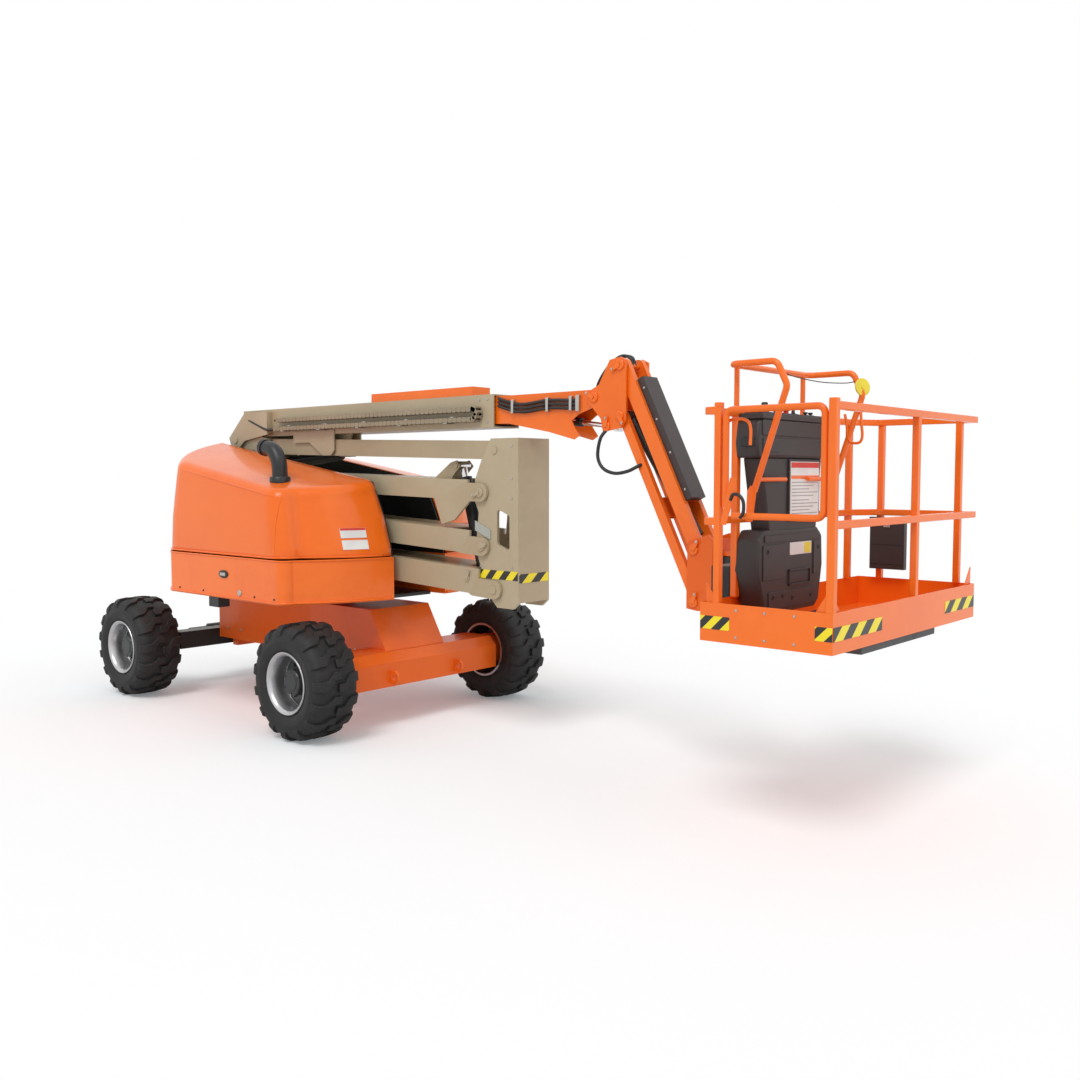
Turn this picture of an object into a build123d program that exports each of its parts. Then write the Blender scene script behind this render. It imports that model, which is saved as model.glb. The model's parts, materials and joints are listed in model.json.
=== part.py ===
from build123d import *
import os
from math import cos, hypot, radians, sin, sqrt

os.makedirs("parts", exist_ok=True)

# Articulating boom lift, stowed. Millimetres. X points forward to the platform, Y to the left, Z up.
# The origin is on the ground in the middle of the whole length. Lengths along X below are
# counted from the slew axis, which stands midway between the axles.

# --- running gear -------------------------------------------------------------
wheelbase = 2379
track = 1968  # between the middles of the two tyres of an axle
tyre_r = 419
tyre_w = 372
rim_r = 222  # lip of the rim
bead_r = 205  # seat of the tyre
bead_w = 316
rim_w = 344
rim_wall = 10
rim_disc_out = 14  # inner face of the rim's disc, outward of the tyre's middle
rim_disc = 20
hub_r = 95
hub_out = 118  # outer face of the hub cap, outward of the tyre's middle
drive_hub_r = 130
kingpin_y = 700
kingpin_r = 28
wheel_x = wheelbase / 2
wheel_y = track / 2

# --- chassis --------------------------------------------------------------------
frame_half = 300
frame_low = 430
frame_top = 850
frame_rear = -1040
beam_rear = 1030  # the fixed drive axle's beam
beam_front = 1370
beam_low = 300
beam_high = 550
beam_half = 785
slew_ring_r = 330
slew_ring_h = 50
slew_gap = 3
lug_hole_r = 22
lug_t = 22
lug_y = 330

# --- turntable --------------------------------------------------------------------
deck_low = 930
deck_t = 25
bay_y = 262  # inner faces of the two side bays
shell_t = 6
tub_top = 1265
hood_gap = 8
bulkhead_t = 12
hood_top_rear = 2120  # height of the hood's inner top edge at hood_top_x
hood_top_x = -600
hood_top_slope = 0.158
hood_cross_fall = 0.13
hood_crown_r = 110

# --- folding tower ------------------------------------------------------------------
plate_in = 137  # upright and post side plates
plate_out = 160
ear_in = 167  # ears of the arms, outside those plates
ear_out = 187
pedestal_in = 197
pedestal_out = 225
pin_r = 28
pin_clear = 0.3
arm_wall = 10
arm_b_rear = (-750, 1229)
arm_b_front = (2287, 1081)
link_a_front = (2169, 1378)
arm_d_front = (2155, 1759)
arm_d_rear = (-620, 1832)
link_c_front = (2275, 2055)
lift_top = (1800, 1950)  # eye of the tower cylinder on the upper arm
lift_foot = (2028, 1150)  # its foot on the lower arm

# --- boom -----------------------------------------------------------------------------
boom_pin = (-900, 2190)
boom_half = 130
boom_low = 2214
boom_high = 2445
boom_rear = -860
boom_front = 2240
boom_wall = 10
fly_half = 100
fly_low = 2238
fly_high = 2430
fly_wall = 8
fly_rear = -700
fly_front = 3110
nose_t = 18
knuckle_pin = (3129, 2379)
level_pin = (3232, 2189)
level_foot = (2480, 2290)
raise_foot = (-700, 1950)
raise_eye = (450, 2060)

# --- jib and platform -------------------------------------------------------------------
jib_top = (3338, 2572)
jib_low = (3338, 2254)
jib_run = (560, -1135)  # from the pins on the knuckle to the pins on the platform's bracket
jib_half = 100
jib_bar = 38
jib_pin_r = 20
knuckle_in = 108
knuckle_t = 16
turn_x = 4130  # the platform turns about this upright axis
rotator_r = 100
rotator_low = 1180
rotator_high = 1400
platform_rear = 4450
platform_front = 5177
platform_right = -900
platform_left = 930
platform_floor = 1070
floor_t = 30
toe_low = 1042
toe_high = 1240
toe_t = 4
rail_r = 19
rail_top = 2206
rail_mid = 1650
gate_rear = 4560
gate_front = 5112
gate_low = 1680

slew_x = -(platform_front - wheel_x - tyre_r) / 2  # the slew axis, from the middle of the length
link_a_rear = (arm_b_rear[0] - arm_b_front[0] + link_a_front[0], arm_b_rear[1] - arm_b_front[1] + link_a_front[1])
link_c_rear = (arm_d_rear[0] - arm_d_front[0] + link_c_front[0], arm_d_rear[1] - arm_d_front[1] + link_c_front[1])
jib_top_end = (jib_top[0] + jib_run[0], jib_top[1] + jib_run[1])
jib_low_end = (jib_low[0] + jib_run[0], jib_low[1] + jib_run[1])


def at(x, y, z):
    return (slew_x + x, y, z)


def side(y=0.0):
    """Upright plane along the machine: local x is forward, local y is up, outward to the right."""
    return Plane(origin=at(0, y, 0), x_dir=(1, 0, 0), z_dir=(0, -1, 0))


def across(x):
    """Upright plane across the machine: local x is to the left, local y is up, outward forward."""
    return Plane(origin=at(x, 0, 0), x_dir=(0, 1, 0), z_dir=(1, 0, 0))


def level(z):
    return Plane(origin=at(0, 0, z), x_dir=(1, 0, 0), z_dir=(0, 0, 1))


def prism(plane, outline, thick, round_r=0, mode=Mode.ADD):
    """A straight-sided outline, its corners rounded if asked, thickened evenly about its plane."""
    with BuildSketch(plane, mode=Mode.PRIVATE) as shape:
        with BuildLine():
            Polyline(*outline, close=True)
        make_face()
        if round_r:
            fillet(shape.vertices(), radius=round_r)
    extrude(shape.sketch, amount=thick / 2, both=True, mode=mode)


def box(x, y, z, mode=Mode.ADD):
    """A block from its lowest and highest x, y and z."""
    outline = [(x[0], y[0]), (x[1], y[0]), (x[1], y[1]), (x[0], y[1])]
    prism(level((z[0] + z[1]) / 2), outline, z[1] - z[0], mode=mode)


def bar(y, thick, a, b, width, mode=Mode.ADD):
    """A round-ended bar between two points of the side view."""
    length = hypot(b[0] - a[0], b[1] - a[1])
    middle = ((a[0] + b[0]) / 2, (a[1] + b[1]) / 2)
    plane = Plane(origin=at(middle[0], y, middle[1]), x_dir=(b[0] - a[0], 0, b[1] - a[1]), z_dir=(0, -1, 0))
    with BuildSketch(plane, mode=Mode.PRIVATE) as shape:
        SlotCenterToCenter(length, width)
    extrude(shape.sketch, amount=thick / 2, both=True, mode=mode)


def beam(y, thick, a, b, below, above, start=0.0, stop=0.0, mode=Mode.ADD):
    """A square-ended beam along the line from a to b, cut start past a and stop short of b."""
    length = hypot(b[0] - a[0], b[1] - a[1])
    plane = Plane(origin=at(a[0], y, a[1]), x_dir=(b[0] - a[0], 0, b[1] - a[1]), z_dir=(0, -1, 0))
    with BuildSketch(plane, mode=Mode.PRIVATE) as shape:
        with BuildLine():
            Polyline((start, below), (length - stop, below), (length - stop, above), (start, above), close=True)
        make_face()
    extrude(shape.sketch, amount=thick / 2, both=True, mode=mode)


def rod(start, end, radius, mode=Mode.ADD):
    """A round bar between two points, given from the slew axis."""
    a = Vector(*at(*start))
    b = Vector(*at(*end))
    with BuildSketch(Plane(origin=a, z_dir=b - a), mode=Mode.PRIVATE) as shape:
        Circle(radius)
    extrude(shape.sketch, amount=(b - a).length, mode=mode)


def pin(point, y0, y1, radius, mode=Mode.ADD):
    """A pin or bore across the machine, at a point of the side view."""
    rod((point[0], y0, point[1]), (point[0], y1, point[1]), radius, mode=mode)


def pipe(points, bend_r, radius):
    """A round tube through points, bent to one radius at each corner."""
    path_points = [at(*p) for p in points]
    with BuildLine(mode=Mode.PRIVATE) as path:
        FilletPolyline(*path_points, radius=bend_r)
    start = Vector(*path_points[0])
    with BuildSketch(Plane(origin=start, z_dir=Vector(*path_points[1]) - start), mode=Mode.PRIVATE) as ring:
        Circle(radius)
    sweep(ring.sketch, path=path.line)


def toward(a, b, distance):
    """The point a given distance from a on the line to b, in the side view."""
    length = hypot(b[0] - a[0], b[1] - a[1])
    return (a[0] + (b[0] - a[0]) * distance / length, a[1] + (b[1] - a[1]) * distance / length)


def save(name, made):
    made.part.label = name
    export_step(made.part, f"parts/{name}.step")


# --- wheels -------------------------------------------------------------------------------
# Where each wheel stands: name, x, side.
wheels = [
    ("front_left", wheel_x, 1),
    ("front_right", wheel_x, -1),
    ("rear_left", -wheel_x, 1),
    ("rear_right", -wheel_x, -1),
]
# Right half of the tyre's section from the bead to the tread: outward, radius.
tyre_section = [
    (bead_w / 2, bead_r),
    (bead_w / 2, rim_r + 4),
    (tyre_w / 2 - 6, 262),
    (tyre_w / 2, 320),
    (tyre_w / 2 - 6, 366),
    (tyre_w / 2 - 28, 398),
    (tyre_w / 2 - 60, tyre_r - 6),
    (tyre_w / 2 - 90, tyre_r),
]
# Section of the rim, from the inner lip round to the hub cap: outward, radius.
rim_section = [
    (-rim_w / 2, bead_r),
    (-rim_w / 2, rim_r),
    (-bead_w / 2, rim_r),
    (-bead_w / 2, bead_r),
    (bead_w / 2, bead_r),
    (bead_w / 2, rim_r),
    (rim_w / 2, rim_r),
    (rim_w / 2, bead_r),
    (rim_w / 2 - rim_wall, bead_r - rim_wall),
    (rim_disc_out + rim_disc, bead_r - rim_wall),
    (rim_disc_out + rim_disc, hub_r),
    (hub_out, hub_r),
    (hub_out, 0),
    (rim_disc_out, 0),
    (rim_disc_out, bead_r - rim_wall),
    (-rim_w / 2 + rim_wall, bead_r - rim_wall),
]


def wheel_plane(x, hand):
    """Plane through a wheel's axle: local x is outward, local y is up from the axle."""
    return Plane(origin=at(x, hand * wheel_y, tyre_r), x_dir=(0, hand, 0), z_dir=(hand, 0, 0))


for name, x, hand in wheels:
    plane = wheel_plane(x, hand)
    axle = Axis(plane.origin, (0, 1, 0))
    with BuildPart() as tyre:
        with BuildSketch(plane):
            with BuildLine():
                Polyline(*tyre_section, *[(-u, r) for u, r in reversed(tyre_section)], close=True)
            make_face()
        revolve(axis=axle)
    save("tyre_" + name, tyre)
    with BuildPart() as rim:
        with BuildSketch(plane):
            with BuildLine():
                Polyline(*rim_section, close=True)
            make_face()
        revolve(axis=axle)
    save("rim_" + name, rim)

# --- chassis --------------------------------------------------------------------------------
hub_in = beam_half
hub_end = wheel_y + rim_disc_out - 6  # the hubs stop short of the turning discs
axle_half = kingpin_y + 50
axle_fore = 75
axle_low = 345
axle_high = 495
bracket_gap = 2

with BuildPart() as chassis_frame:
    frame_outline = [
        (frame_rear, frame_low),
        (beam_rear, frame_low),
        (beam_rear, beam_high),
        (beam_front - 110, beam_high),
        (beam_front - 290, frame_top),
        (frame_rear + 60, frame_top),
        (frame_rear, frame_top - 90),
    ]
    prism(side(), frame_outline, 2 * frame_half)
    # the plates that carry the rear axle's pivot pin
    for x in (-wheel_x - axle_fore - 20, -wheel_x + axle_fore + 20):
        box((x - 18, x + 18), (-120, 120), (axle_low - 20, axle_high + 140))
    box((-wheel_x - axle_fore - 38, frame_rear), (-120, 120), (axle_high + 60, axle_high + 140))
    rod((-wheel_x - axle_fore - 45, 0, tyre_r), (frame_rear, 0, tyre_r), 35)
    box((-wheel_x + axle_fore + 20, frame_rear), (-120, 120), (axle_low - 20, axle_high + 140))
save("chassis_frame", chassis_frame)

with BuildPart() as drive_axle:
    beam_outline = [
        (beam_rear, beam_low),
        (beam_front, beam_low),
        (beam_front, beam_high - 70),
        (beam_front - 70, beam_high),
        (beam_rear, beam_high),
    ]
    prism(side(), beam_outline, 2 * beam_half)
    for hand in (1, -1):
        rod((wheel_x, hand * beam_half, tyre_r), (wheel_x, hand * hub_end, tyre_r), drive_hub_r)
save("drive_axle", drive_axle)

with BuildPart() as tie_down_lugs:
    for hand in (1, -1):
        lug_outline = [
            (beam_front, beam_low + 20),
            (beam_front + 45, beam_low + 20),
            (beam_front + 75, beam_low + 50),
            (beam_front + 75, beam_low + 90),
            (beam_front + 45, beam_low + 120),
            (beam_front, beam_low + 120),
        ]
        prism(side(hand * lug_y), lug_outline, lug_t)
        pin((beam_front + 38, beam_low + 70), hand * lug_y - lug_t, hand * lug_y + lug_t, lug_hole_r, Mode.SUBTRACT)
save("tie_down_lugs", tie_down_lugs)

with BuildPart() as steer_axle:
    box((-wheel_x - axle_fore, -wheel_x + axle_fore), (-axle_half + 110, axle_half - 110), (axle_low, axle_high))
    for hand in (1, -1):
        rod((-wheel_x, hand * kingpin_y, axle_low), (-wheel_x, hand * kingpin_y, axle_high), 62)
        box((-wheel_x - 45, -wheel_x + 45), sorted((hand * 600, hand * kingpin_y)), (axle_low + 20, axle_high - 20))
        rod((-wheel_x, hand * kingpin_y, axle_low - 1), (-wheel_x, hand * kingpin_y, axle_high + 1), kingpin_r + pin_clear, Mode.SUBTRACT)
    rod((-wheel_x - axle_fore - 1, 0, tyre_r), (-wheel_x + axle_fore + 1, 0, tyre_r), 35, Mode.SUBTRACT)
save("steer_axle", steer_axle)

with BuildPart() as steer_cylinder:
    rod((-wheel_x - 165, -230, 470), (-wheel_x - 165, 230, 470), 38)
    for hand in (1, -1):
        rod((-wheel_x - 165, hand * 230, 470), (-wheel_x - 165, hand * 420, 470), 18)
        box((-wheel_x - 130, -wheel_x - axle_fore), sorted((hand * 160, hand * 200)), (440, 492))
save("steer_cylinder", steer_cylinder)

ear_clear = 3  # between the knuckle's ears and the end of the axle
knuckle_web = kingpin_y + 72
for name, hand in (("left", 1), ("right", -1)):
    with BuildPart() as steer_knuckle:
        # upper and lower ears, the web outside them, the pin and the wheel's hub
        for low, high in ((axle_low - ear_clear - 32, axle_low - ear_clear), (axle_high + ear_clear, axle_high + ear_clear + 32)):
            rod((-wheel_x, hand * kingpin_y, low), (-wheel_x, hand * kingpin_y, high), 55)
            box((-wheel_x - 55, -wheel_x + 55), sorted((hand * kingpin_y, hand * (knuckle_web + 10))), (low, high))
        box((-wheel_x - 55, -wheel_x + 55), sorted((hand * knuckle_web, hand * (knuckle_web + 30))), (axle_low - ear_clear - 32, axle_high + ear_clear + 32))
        rod((-wheel_x, hand * kingpin_y, axle_low - ear_clear - 40), (-wheel_x, hand * kingpin_y, axle_high + ear_clear + 40), kingpin_r)
        rod((-wheel_x, hand * (knuckle_web + 10), tyre_r), (-wheel_x, hand * hub_end, tyre_r), drive_hub_r - 20)
    save("steer_knuckle_" + name, steer_knuckle)

with BuildPart() as slew_ring:
    rod((0, 0, frame_top), (0, 0, frame_top + slew_ring_h), slew_ring_r)
save("slew_ring", slew_ring)

# --- turntable --------------------------------------------------------------------------------
# Sections of a side bay, from the bottom up: height, radius of the tail about the slew axis,
# side, front outer corner, front inner end.
bay_sections = [
    (945, 1170, 1070, 1060, 1320),
    (1330, 1170, 1068, 1055, 1320),
    (1550, 1160, 1060, 1000, 1250),
    (1860, 1125, 1030, 920, 1095),
    (2180, 1080, 990, 830, 935),
]


def bay_form(hand, inset, inner_y):
    """One side bay as a ruled loft through its sections, drawn in by inset all round."""
    sections = []
    for z, tail_r, side_y, corner_x, nose_x in bay_sections:
        r = tail_r - inset
        out = side_y - inset
        tail_inner = (-sqrt(r * r - inner_y * inner_y), hand * inner_y)
        tail_outer = (-sqrt(r * r - out * out), hand * out)
        half_y = (inner_y + out) / 2
        tail_middle = (-sqrt(r * r - half_y * half_y), hand * half_y)
        corner_in = (corner_x - inset - 90, hand * out)
        corner_out = (corner_x - inset, hand * (out - 90))
        corner_middle = (corner_x - inset - 26, hand * (out - 26))
        nose = (nose_x - inset, hand * inner_y)
        bulge = ((corner_x + nose_x) / 2 - inset + 45, hand * (inner_y + out - 60) / 2)
        with BuildSketch(level(z), mode=Mode.PRIVATE) as section:
            with BuildLine():
                ThreePointArc(tail_inner, tail_middle, tail_outer)
                Line(tail_outer, corner_in)
                ThreePointArc(corner_in, corner_middle, corner_out)
                ThreePointArc(corner_out, bulge, nose)
                Line(nose, tail_inner)
            make_face()
        sections.append(section.sketch.face())
    loft(sections, ruled=True)


def crown_cut(hand, drop, inner_y):
    """The sloping top: falls forward and, more gently, outward. Cuts away what stands above it."""
    top = Vector(*at(hood_top_x, hand * inner_y, hood_top_rear - drop))
    forward = Vector(1, 0, -hood_top_slope)
    outward = Vector(0, hand, -hood_cross_fall)
    normal = forward.cross(outward)
    if normal.Z < 0:
        normal = -normal
    with BuildSketch(Plane(origin=top, z_dir=normal), mode=Mode.PRIVATE) as cover:
        Rectangle(6000, 6000)
    extrude(cover.sketch, amount=1500, mode=Mode.SUBTRACT)


def bay_solid(hand, inset, inner_y, low, high):
    """A bay between two heights, under its sloping top."""
    with BuildPart() as form:
        bay_form(hand, inset, inner_y)
        crown_cut(hand, inset, inner_y)
        box((-1500, 1600), (-1500, 1500), (0, low), Mode.SUBTRACT)
        if high:
            box((-1500, 1600), (-1500, 1500), (high, 3000), Mode.SUBTRACT)
    return form.part


with BuildPart() as side_tubs:
    for hand in (1, -1):
        add(bay_solid(hand, 0, bay_y, 945, tub_top))
        add(bay_solid(hand, shell_t, bay_y + shell_t, 945 + shell_t, 0), mode=Mode.SUBTRACT)
save("side_tubs", side_tubs)

with BuildPart() as bulkheads:
    for hand in (1, -1):
        add(bay_solid(hand, 22, bay_y, tub_top, 0))
    for hand in (1, -1):
        box((-1500, 1600), sorted((hand * (bay_y + bulkhead_t), hand * 1500)), (0, 3000), Mode.SUBTRACT)
save("bulkheads", bulkheads)

for name, hand in (("left", 1), ("right", -1)):
    with BuildPart() as hood:
        add(bay_solid(hand, 12, bay_y + bulkhead_t + 6, tub_top + hood_gap, 0))
        add(bay_solid(hand, 12 + shell_t, bay_y, tub_top, 0), mode=Mode.SUBTRACT)
    save("hood_" + name, hood)

with BuildPart() as turntable_deck:
    box((-1100, 1150), (-bay_y, bay_y), (deck_low, deck_low + deck_t))
    rod((0, 0, frame_top + slew_ring_h + slew_gap), (0, 0, deck_low), slew_ring_r - 30)
save("turntable_deck", turntable_deck)

with BuildPart() as tower_pedestal:
    pedestal_outline = [
        (-1000, deck_low + deck_t),
        (-350, deck_low + deck_t),
        (arm_b_rear[0] + 150, arm_b_rear[1] + 60),
        (link_a_rear[0] + 90, link_a_rear[1] + 70),
        (link_a_rear[0] - 70, link_a_rear[1] + 90),
        (-1000, link_a_rear[1] - 20),
    ]
    for hand in (1, -1):
        prism(side(hand * (pedestal_in + pedestal_out) / 2), pedestal_outline, pedestal_out - pedestal_in)
        for point in (arm_b_rear, link_a_rear):
            pin(point, hand * (pedestal_in - 1), hand * (pedestal_out + 1), pin_r + pin_clear, Mode.SUBTRACT)
save("tower_pedestal", tower_pedestal)

with BuildPart() as counterweight:
    with BuildSketch(level(deck_low + deck_t)):
        with BuildLine():
            cw_x = -sqrt(1165**2 - 250**2)
            ThreePointArc((cw_x, 250), (-1165, 0), (cw_x, -250))
            Polyline((cw_x, -250), (-1005, -250), (-1005, 250), (cw_x, 250))
        make_face()
    extrude(amount=620)
save("counterweight", counterweight)

with BuildPart() as power_units:
    box((-350, 450), (380, 860), (990, 1620))  # engine
    box((-520, 150), (-860, -400), (990, 1560))  # tanks
save("power_units", power_units)

# --- folding tower ------------------------------------------------------------------------------
ear_y = (ear_in + ear_out) / 2
ear_t = ear_out - ear_in
arm_w = 2 * ear_out

with BuildPart() as lower_arm:
    beam(0, arm_w, arm_b_rear, arm_b_front, -50, 130, -40, 190)
    bar(0, arm_w, arm_b_rear, toward(arm_b_rear, arm_b_front, 60), 130)
    beam(0, arm_w - 2 * arm_wall, arm_b_rear, arm_b_front, -50 + arm_wall, 130 - arm_wall, 120, 180, Mode.SUBTRACT)
    # the top is open where the tower cylinder stands in the arm
    beam(0, 130, arm_b_rear, arm_b_front, 90, 140, 2680, 150, Mode.SUBTRACT)
    for hand in (1, -1):
        beam(hand * ear_y, ear_t, arm_b_rear, arm_b_front, -50, 130, 2700, 150)
        bar(hand * ear_y, ear_t, toward(arm_b_front, arm_b_rear, 200), arm_b_front, 130)
    pin(arm_b_rear, -pedestal_out - 8, pedestal_out + 8, pin_r)
    pin(arm_b_front, -ear_out - 8, ear_out + 8, pin_r)
    # cheeks that hold the tower cylinder's foot
    for hand in (1, -1):
        prism(side(hand * 75), [(1860, 1115), (2020, 1105), (2068, 1150), (2020, 1195), (1860, 1230)], 16)
    pin(lift_foot, -82, 82, 22)
save("lower_arm", lower_arm)

with BuildPart() as lower_link:
    beam(0, arm_w, link_a_rear, link_a_front, -58, 106, -40, 330)
    bar(0, arm_w, link_a_rear, toward(link_a_rear, link_a_front, 60), 130)
    beam(0, arm_w - 2 * arm_wall, link_a_rear, link_a_front, -58 + arm_wall, 106 - arm_wall, 120, 320, Mode.SUBTRACT)
    for hand in (1, -1):
        beam(hand * ear_y, ear_t, link_a_rear, link_a_front, -58, 106, 2650, 120)
        bar(hand * ear_y, ear_t, toward(link_a_front, link_a_rear, 200), link_a_front, 130)
        pin(link_a_front, hand * 128, hand * (ear_out + 8), pin_r)
    pin(link_a_rear, -pedestal_out - 8, pedestal_out + 8, pin_r)
save("lower_link", lower_link)

with BuildPart() as tower_upright:
    upright_outline = [
        (2300, 956),
        (2450, 956),
        (2500, 1000),
        (2500, 2135),
        (2240, 2135),
        (2150, 1990),
        (2085, 1850),
        (2085, 1690),
        (2120, 1620),
        (2100, 1440),
        (2100, 1330),
        (2225, 1030),
    ]
    for hand in (1, -1):
        prism(side(hand * (plate_in + plate_out) / 2), upright_outline, plate_out - plate_in)
        prism(side(hand * (plate_in + plate_out) / 2), [(2300, 1400), (2418, 1358), (2418, 1600), (2300, 1647)], 60, 20, Mode.SUBTRACT)
        for point in (arm_b_front, link_a_front, arm_d_front, link_c_front):
            pin(point, hand * (plate_in - 5), hand * (plate_out + 5), pin_r + pin_clear, Mode.SUBTRACT)
    box((2484, 2500), (-plate_in, plate_in), (1000, 2135))
    box((2390, 2484), (-plate_in, plate_in), (1180, 1196))
    box((2390, 2484), (-plate_in, plate_in), (1790, 1806))
save("tower_upright", tower_upright)

with BuildPart() as upper_arm:
    beam(0, arm_w, arm_d_rear, arm_d_front, -57, 87, 260, 470)
    beam(0, arm_w - 2 * arm_wall, arm_d_rear, arm_d_front, -57 + arm_wall, 87 - arm_wall, 250, 460, Mode.SUBTRACT)
    for hand in (1, -1):
        beam(hand * ear_y, ear_t, arm_d_rear, arm_d_front, -57, 87, 2250, 120)
        bar(hand * ear_y, ear_t, toward(arm_d_front, arm_d_rear, 200), arm_d_front, 130)
        beam(hand * ear_y, ear_t, arm_d_rear, arm_d_front, -57, 87, 70, 2450)
        bar(hand * ear_y, ear_t, arm_d_rear, toward(arm_d_rear, arm_d_front, 200), 130)
        # gusset under the front end
        prism(side(hand * ear_y), [(1684, 1720), (1768, 1525), (1900, 1560), (2080, 1720)], ear_t)
        pin(arm_d_front, hand * 128, hand * (ear_out + 8), pin_r)
        # ears for the tower cylinder's eye
        prism(side(hand * 63), [(1480, 1800), (1665, 1760), (1790, 1900), (1840, 1945), (1800, 1988), (1740, 1972)], 14)
    pin(arm_d_rear, -ear_out - 8, ear_out + 8, 25)
    for hand in (1, -1):
        pin(lift_top, hand * 51, hand * 78, 18)
save("upper_arm", upper_arm)

slot_half = 78
link_half = 120
with BuildPart() as upper_link:
    beam(0, 2 * link_half, link_c_rear, link_c_front, -66, 64, 0, 0)
    bar(0, 2 * link_half, link_c_rear, link_c_front, 130)
    # open down the middle at both ends, where the cylinders pass
    beam(0, 2 * slot_half, link_c_rear, link_c_front, -80, 80, -200, 1500, Mode.SUBTRACT)
    beam(0, 2 * slot_half, link_c_rear, link_c_front, -80, 80, 2050, -200, Mode.SUBTRACT)
    for hand in (1, -1):
        for point in (link_c_rear, link_c_front):
            pin(point, hand * slot_half, hand * (plate_out + 6), pin_r)
save("upper_link", upper_link)

with BuildPart() as boom_post:
    post_outline = [
        (arm_d_rear[0] + 60, arm_d_rear[1] - 80),
        (arm_d_rear[0] + 85, arm_d_rear[1] - 20),
        (link_c_rear[0] + 75, link_c_rear[1] - 30),
        (link_c_rear[0] + 60, link_c_rear[1] + 62),
        (boom_pin[0] + 40, boom_pin[1] + 88),
        (boom_pin[0] - 60, boom_pin[1] + 75),
        (boom_pin[0] - 92, boom_pin[1] - 20),
        (raise_foot[0] - 90, raise_foot[1] - 40),
        (arm_d_rear[0] - 70, arm_d_rear[1] - 80),
    ]
    for hand in (1, -1):
        prism(side(hand * (plate_in + plate_out) / 2), post_outline, plate_out - plate_in)
        pin(boom_pin, hand * (plate_in - 5), hand * (plate_out + 5), pin_r + pin_clear, Mode.SUBTRACT)
        pin(link_c_rear, hand * (plate_in - 5), hand * (plate_out + 5), pin_r + pin_clear, Mode.SUBTRACT)
        pin(arm_d_rear, hand * (plate_in - 5), hand * (plate_out + 5), 25 + pin_clear, Mode.SUBTRACT)
    # the web that joins the plates behind the cylinder
    prism(side(), [(-962, 2120), (-805, 1880), (-790, 1890), (-947, 2130)], 2 * plate_in)
    pin(raise_foot, -plate_in, plate_in, 20)
save("boom_post", boom_post)


def cylinder(names, foot, eye, barrel_r, rod_r, barrel_l, rod_in, travel_in, pins, widths):
    """A hydraulic cylinder between two pins of the side view: names of barrel and rod, length of the
    barrel from its foot, how far the rod reaches in as drawn, how far it still goes in, and the
    radii of the pins and widths of the two eyes."""
    mouth = toward(foot, eye, barrel_l)
    inner = toward(foot, eye, barrel_l - rod_in)
    bottom = toward(foot, eye, barrel_l - rod_in - travel_in - 6)
    with BuildPart() as barrel:
        rod((foot[0], 0, foot[1]), (mouth[0], 0, mouth[1]), barrel_r)
        pin(foot, -widths[0] / 2, widths[0] / 2, pins[0] + 16)
        rod((bottom[0], 0, bottom[1]), (mouth[0], 0, mouth[1]), rod_r + 1, Mode.SUBTRACT)
        pin(foot, -barrel_r - 20, barrel_r + 20, pins[0] + pin_clear, Mode.SUBTRACT)
    save(names[0], barrel)
    with BuildPart() as ram:
        rod((inner[0], 0, inner[1]), (eye[0], 0, eye[1]), rod_r)
        pin(eye, -widths[1] / 2, widths[1] / 2, pins[1] + 14)
    save(names[1], ram)


cylinder(("tower_cylinder", "tower_rod"), lift_foot, lift_top, 48, 28, 740, 520, 0, (22, 18), (120, 100))
cylinder(("raise_cylinder", "raise_rod"), raise_foot, raise_eye, 50, 28, 1060, 440, 0, (20, 18), (120, 56))
cylinder(("level_cylinder", "level_rod"), level_foot, level_pin, 30, 16, 455, 60, 262, (15, 15), (80, 60))
cylinder(("jib_cylinder", "jib_rod"), jib_low, jib_top_end, 38, 20, 900, 640, 28, (20, 20), (110, 100))

with BuildPart() as boom_base:
    base_outline = [(boom_rear, boom_low), (boom_front, boom_low), (boom_front, boom_high), (boom_rear, boom_high)]
    prism(side(), base_outline, 2 * boom_half)
    box((boom_rear + 40, boom_front + 5), (-boom_half + boom_wall, boom_half - boom_wall), (boom_low + boom_wall, boom_high - boom_wall), Mode.SUBTRACT)
    for hand in (1, -1):
        ear_outline = [
            (boom_pin[0] - 80, boom_pin[1] - 50),
            (boom_pin[0] + 20, boom_pin[1] - 90),
            (boom_pin[0] + 130, boom_pin[1] - 10),
            (-420, boom_low + 15),
            (-420, boom_high - 20),
            (-760, boom_high - 20),
            (boom_pin[0] - 110, boom_pin[1] + 20),
        ]
        prism(side(hand * ear_y), ear_outline, ear_t)
        box((-600, -420), sorted((hand * boom_half, hand * ear_in)), (boom_low + 25, boom_high - 25))
    pin(boom_pin, -ear_out - 8, ear_out + 8, pin_r)
    # the lug for the lift cylinder's eye, and the hose guide's side plates
    for hand in (1, -1):
        prism(side(hand * 42), [(250, boom_low), (560, boom_low), (490, raise_eye[1] - 30), (410, raise_eye[1] - 30)], 16)
    for hand in (1, -1):
        pin(raise_eye, hand * 30, hand * 56, 18)
    for hand in (1, -1):
        prism(side(hand * 136), [(-100, boom_low + 30), (450, boom_low + 30), (450, 2080), (408, 2040), (300, 2040), (120, 2150), (-100, 2150)], 12)
save("boom_base", boom_base)

with BuildPart() as boom_cover:
    box((866, 1990), (-90, 90), (boom_high, 2513))
save("boom_cover", boom_cover)

with BuildPart() as hose_carrier:
    prism(side(-boom_half - 37), [(-300, 2250), (2110, 2250), (2165, 2307), (2110, 2365), (-300, 2365)], 70)
save("hose_carrier", hose_carrier)

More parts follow.
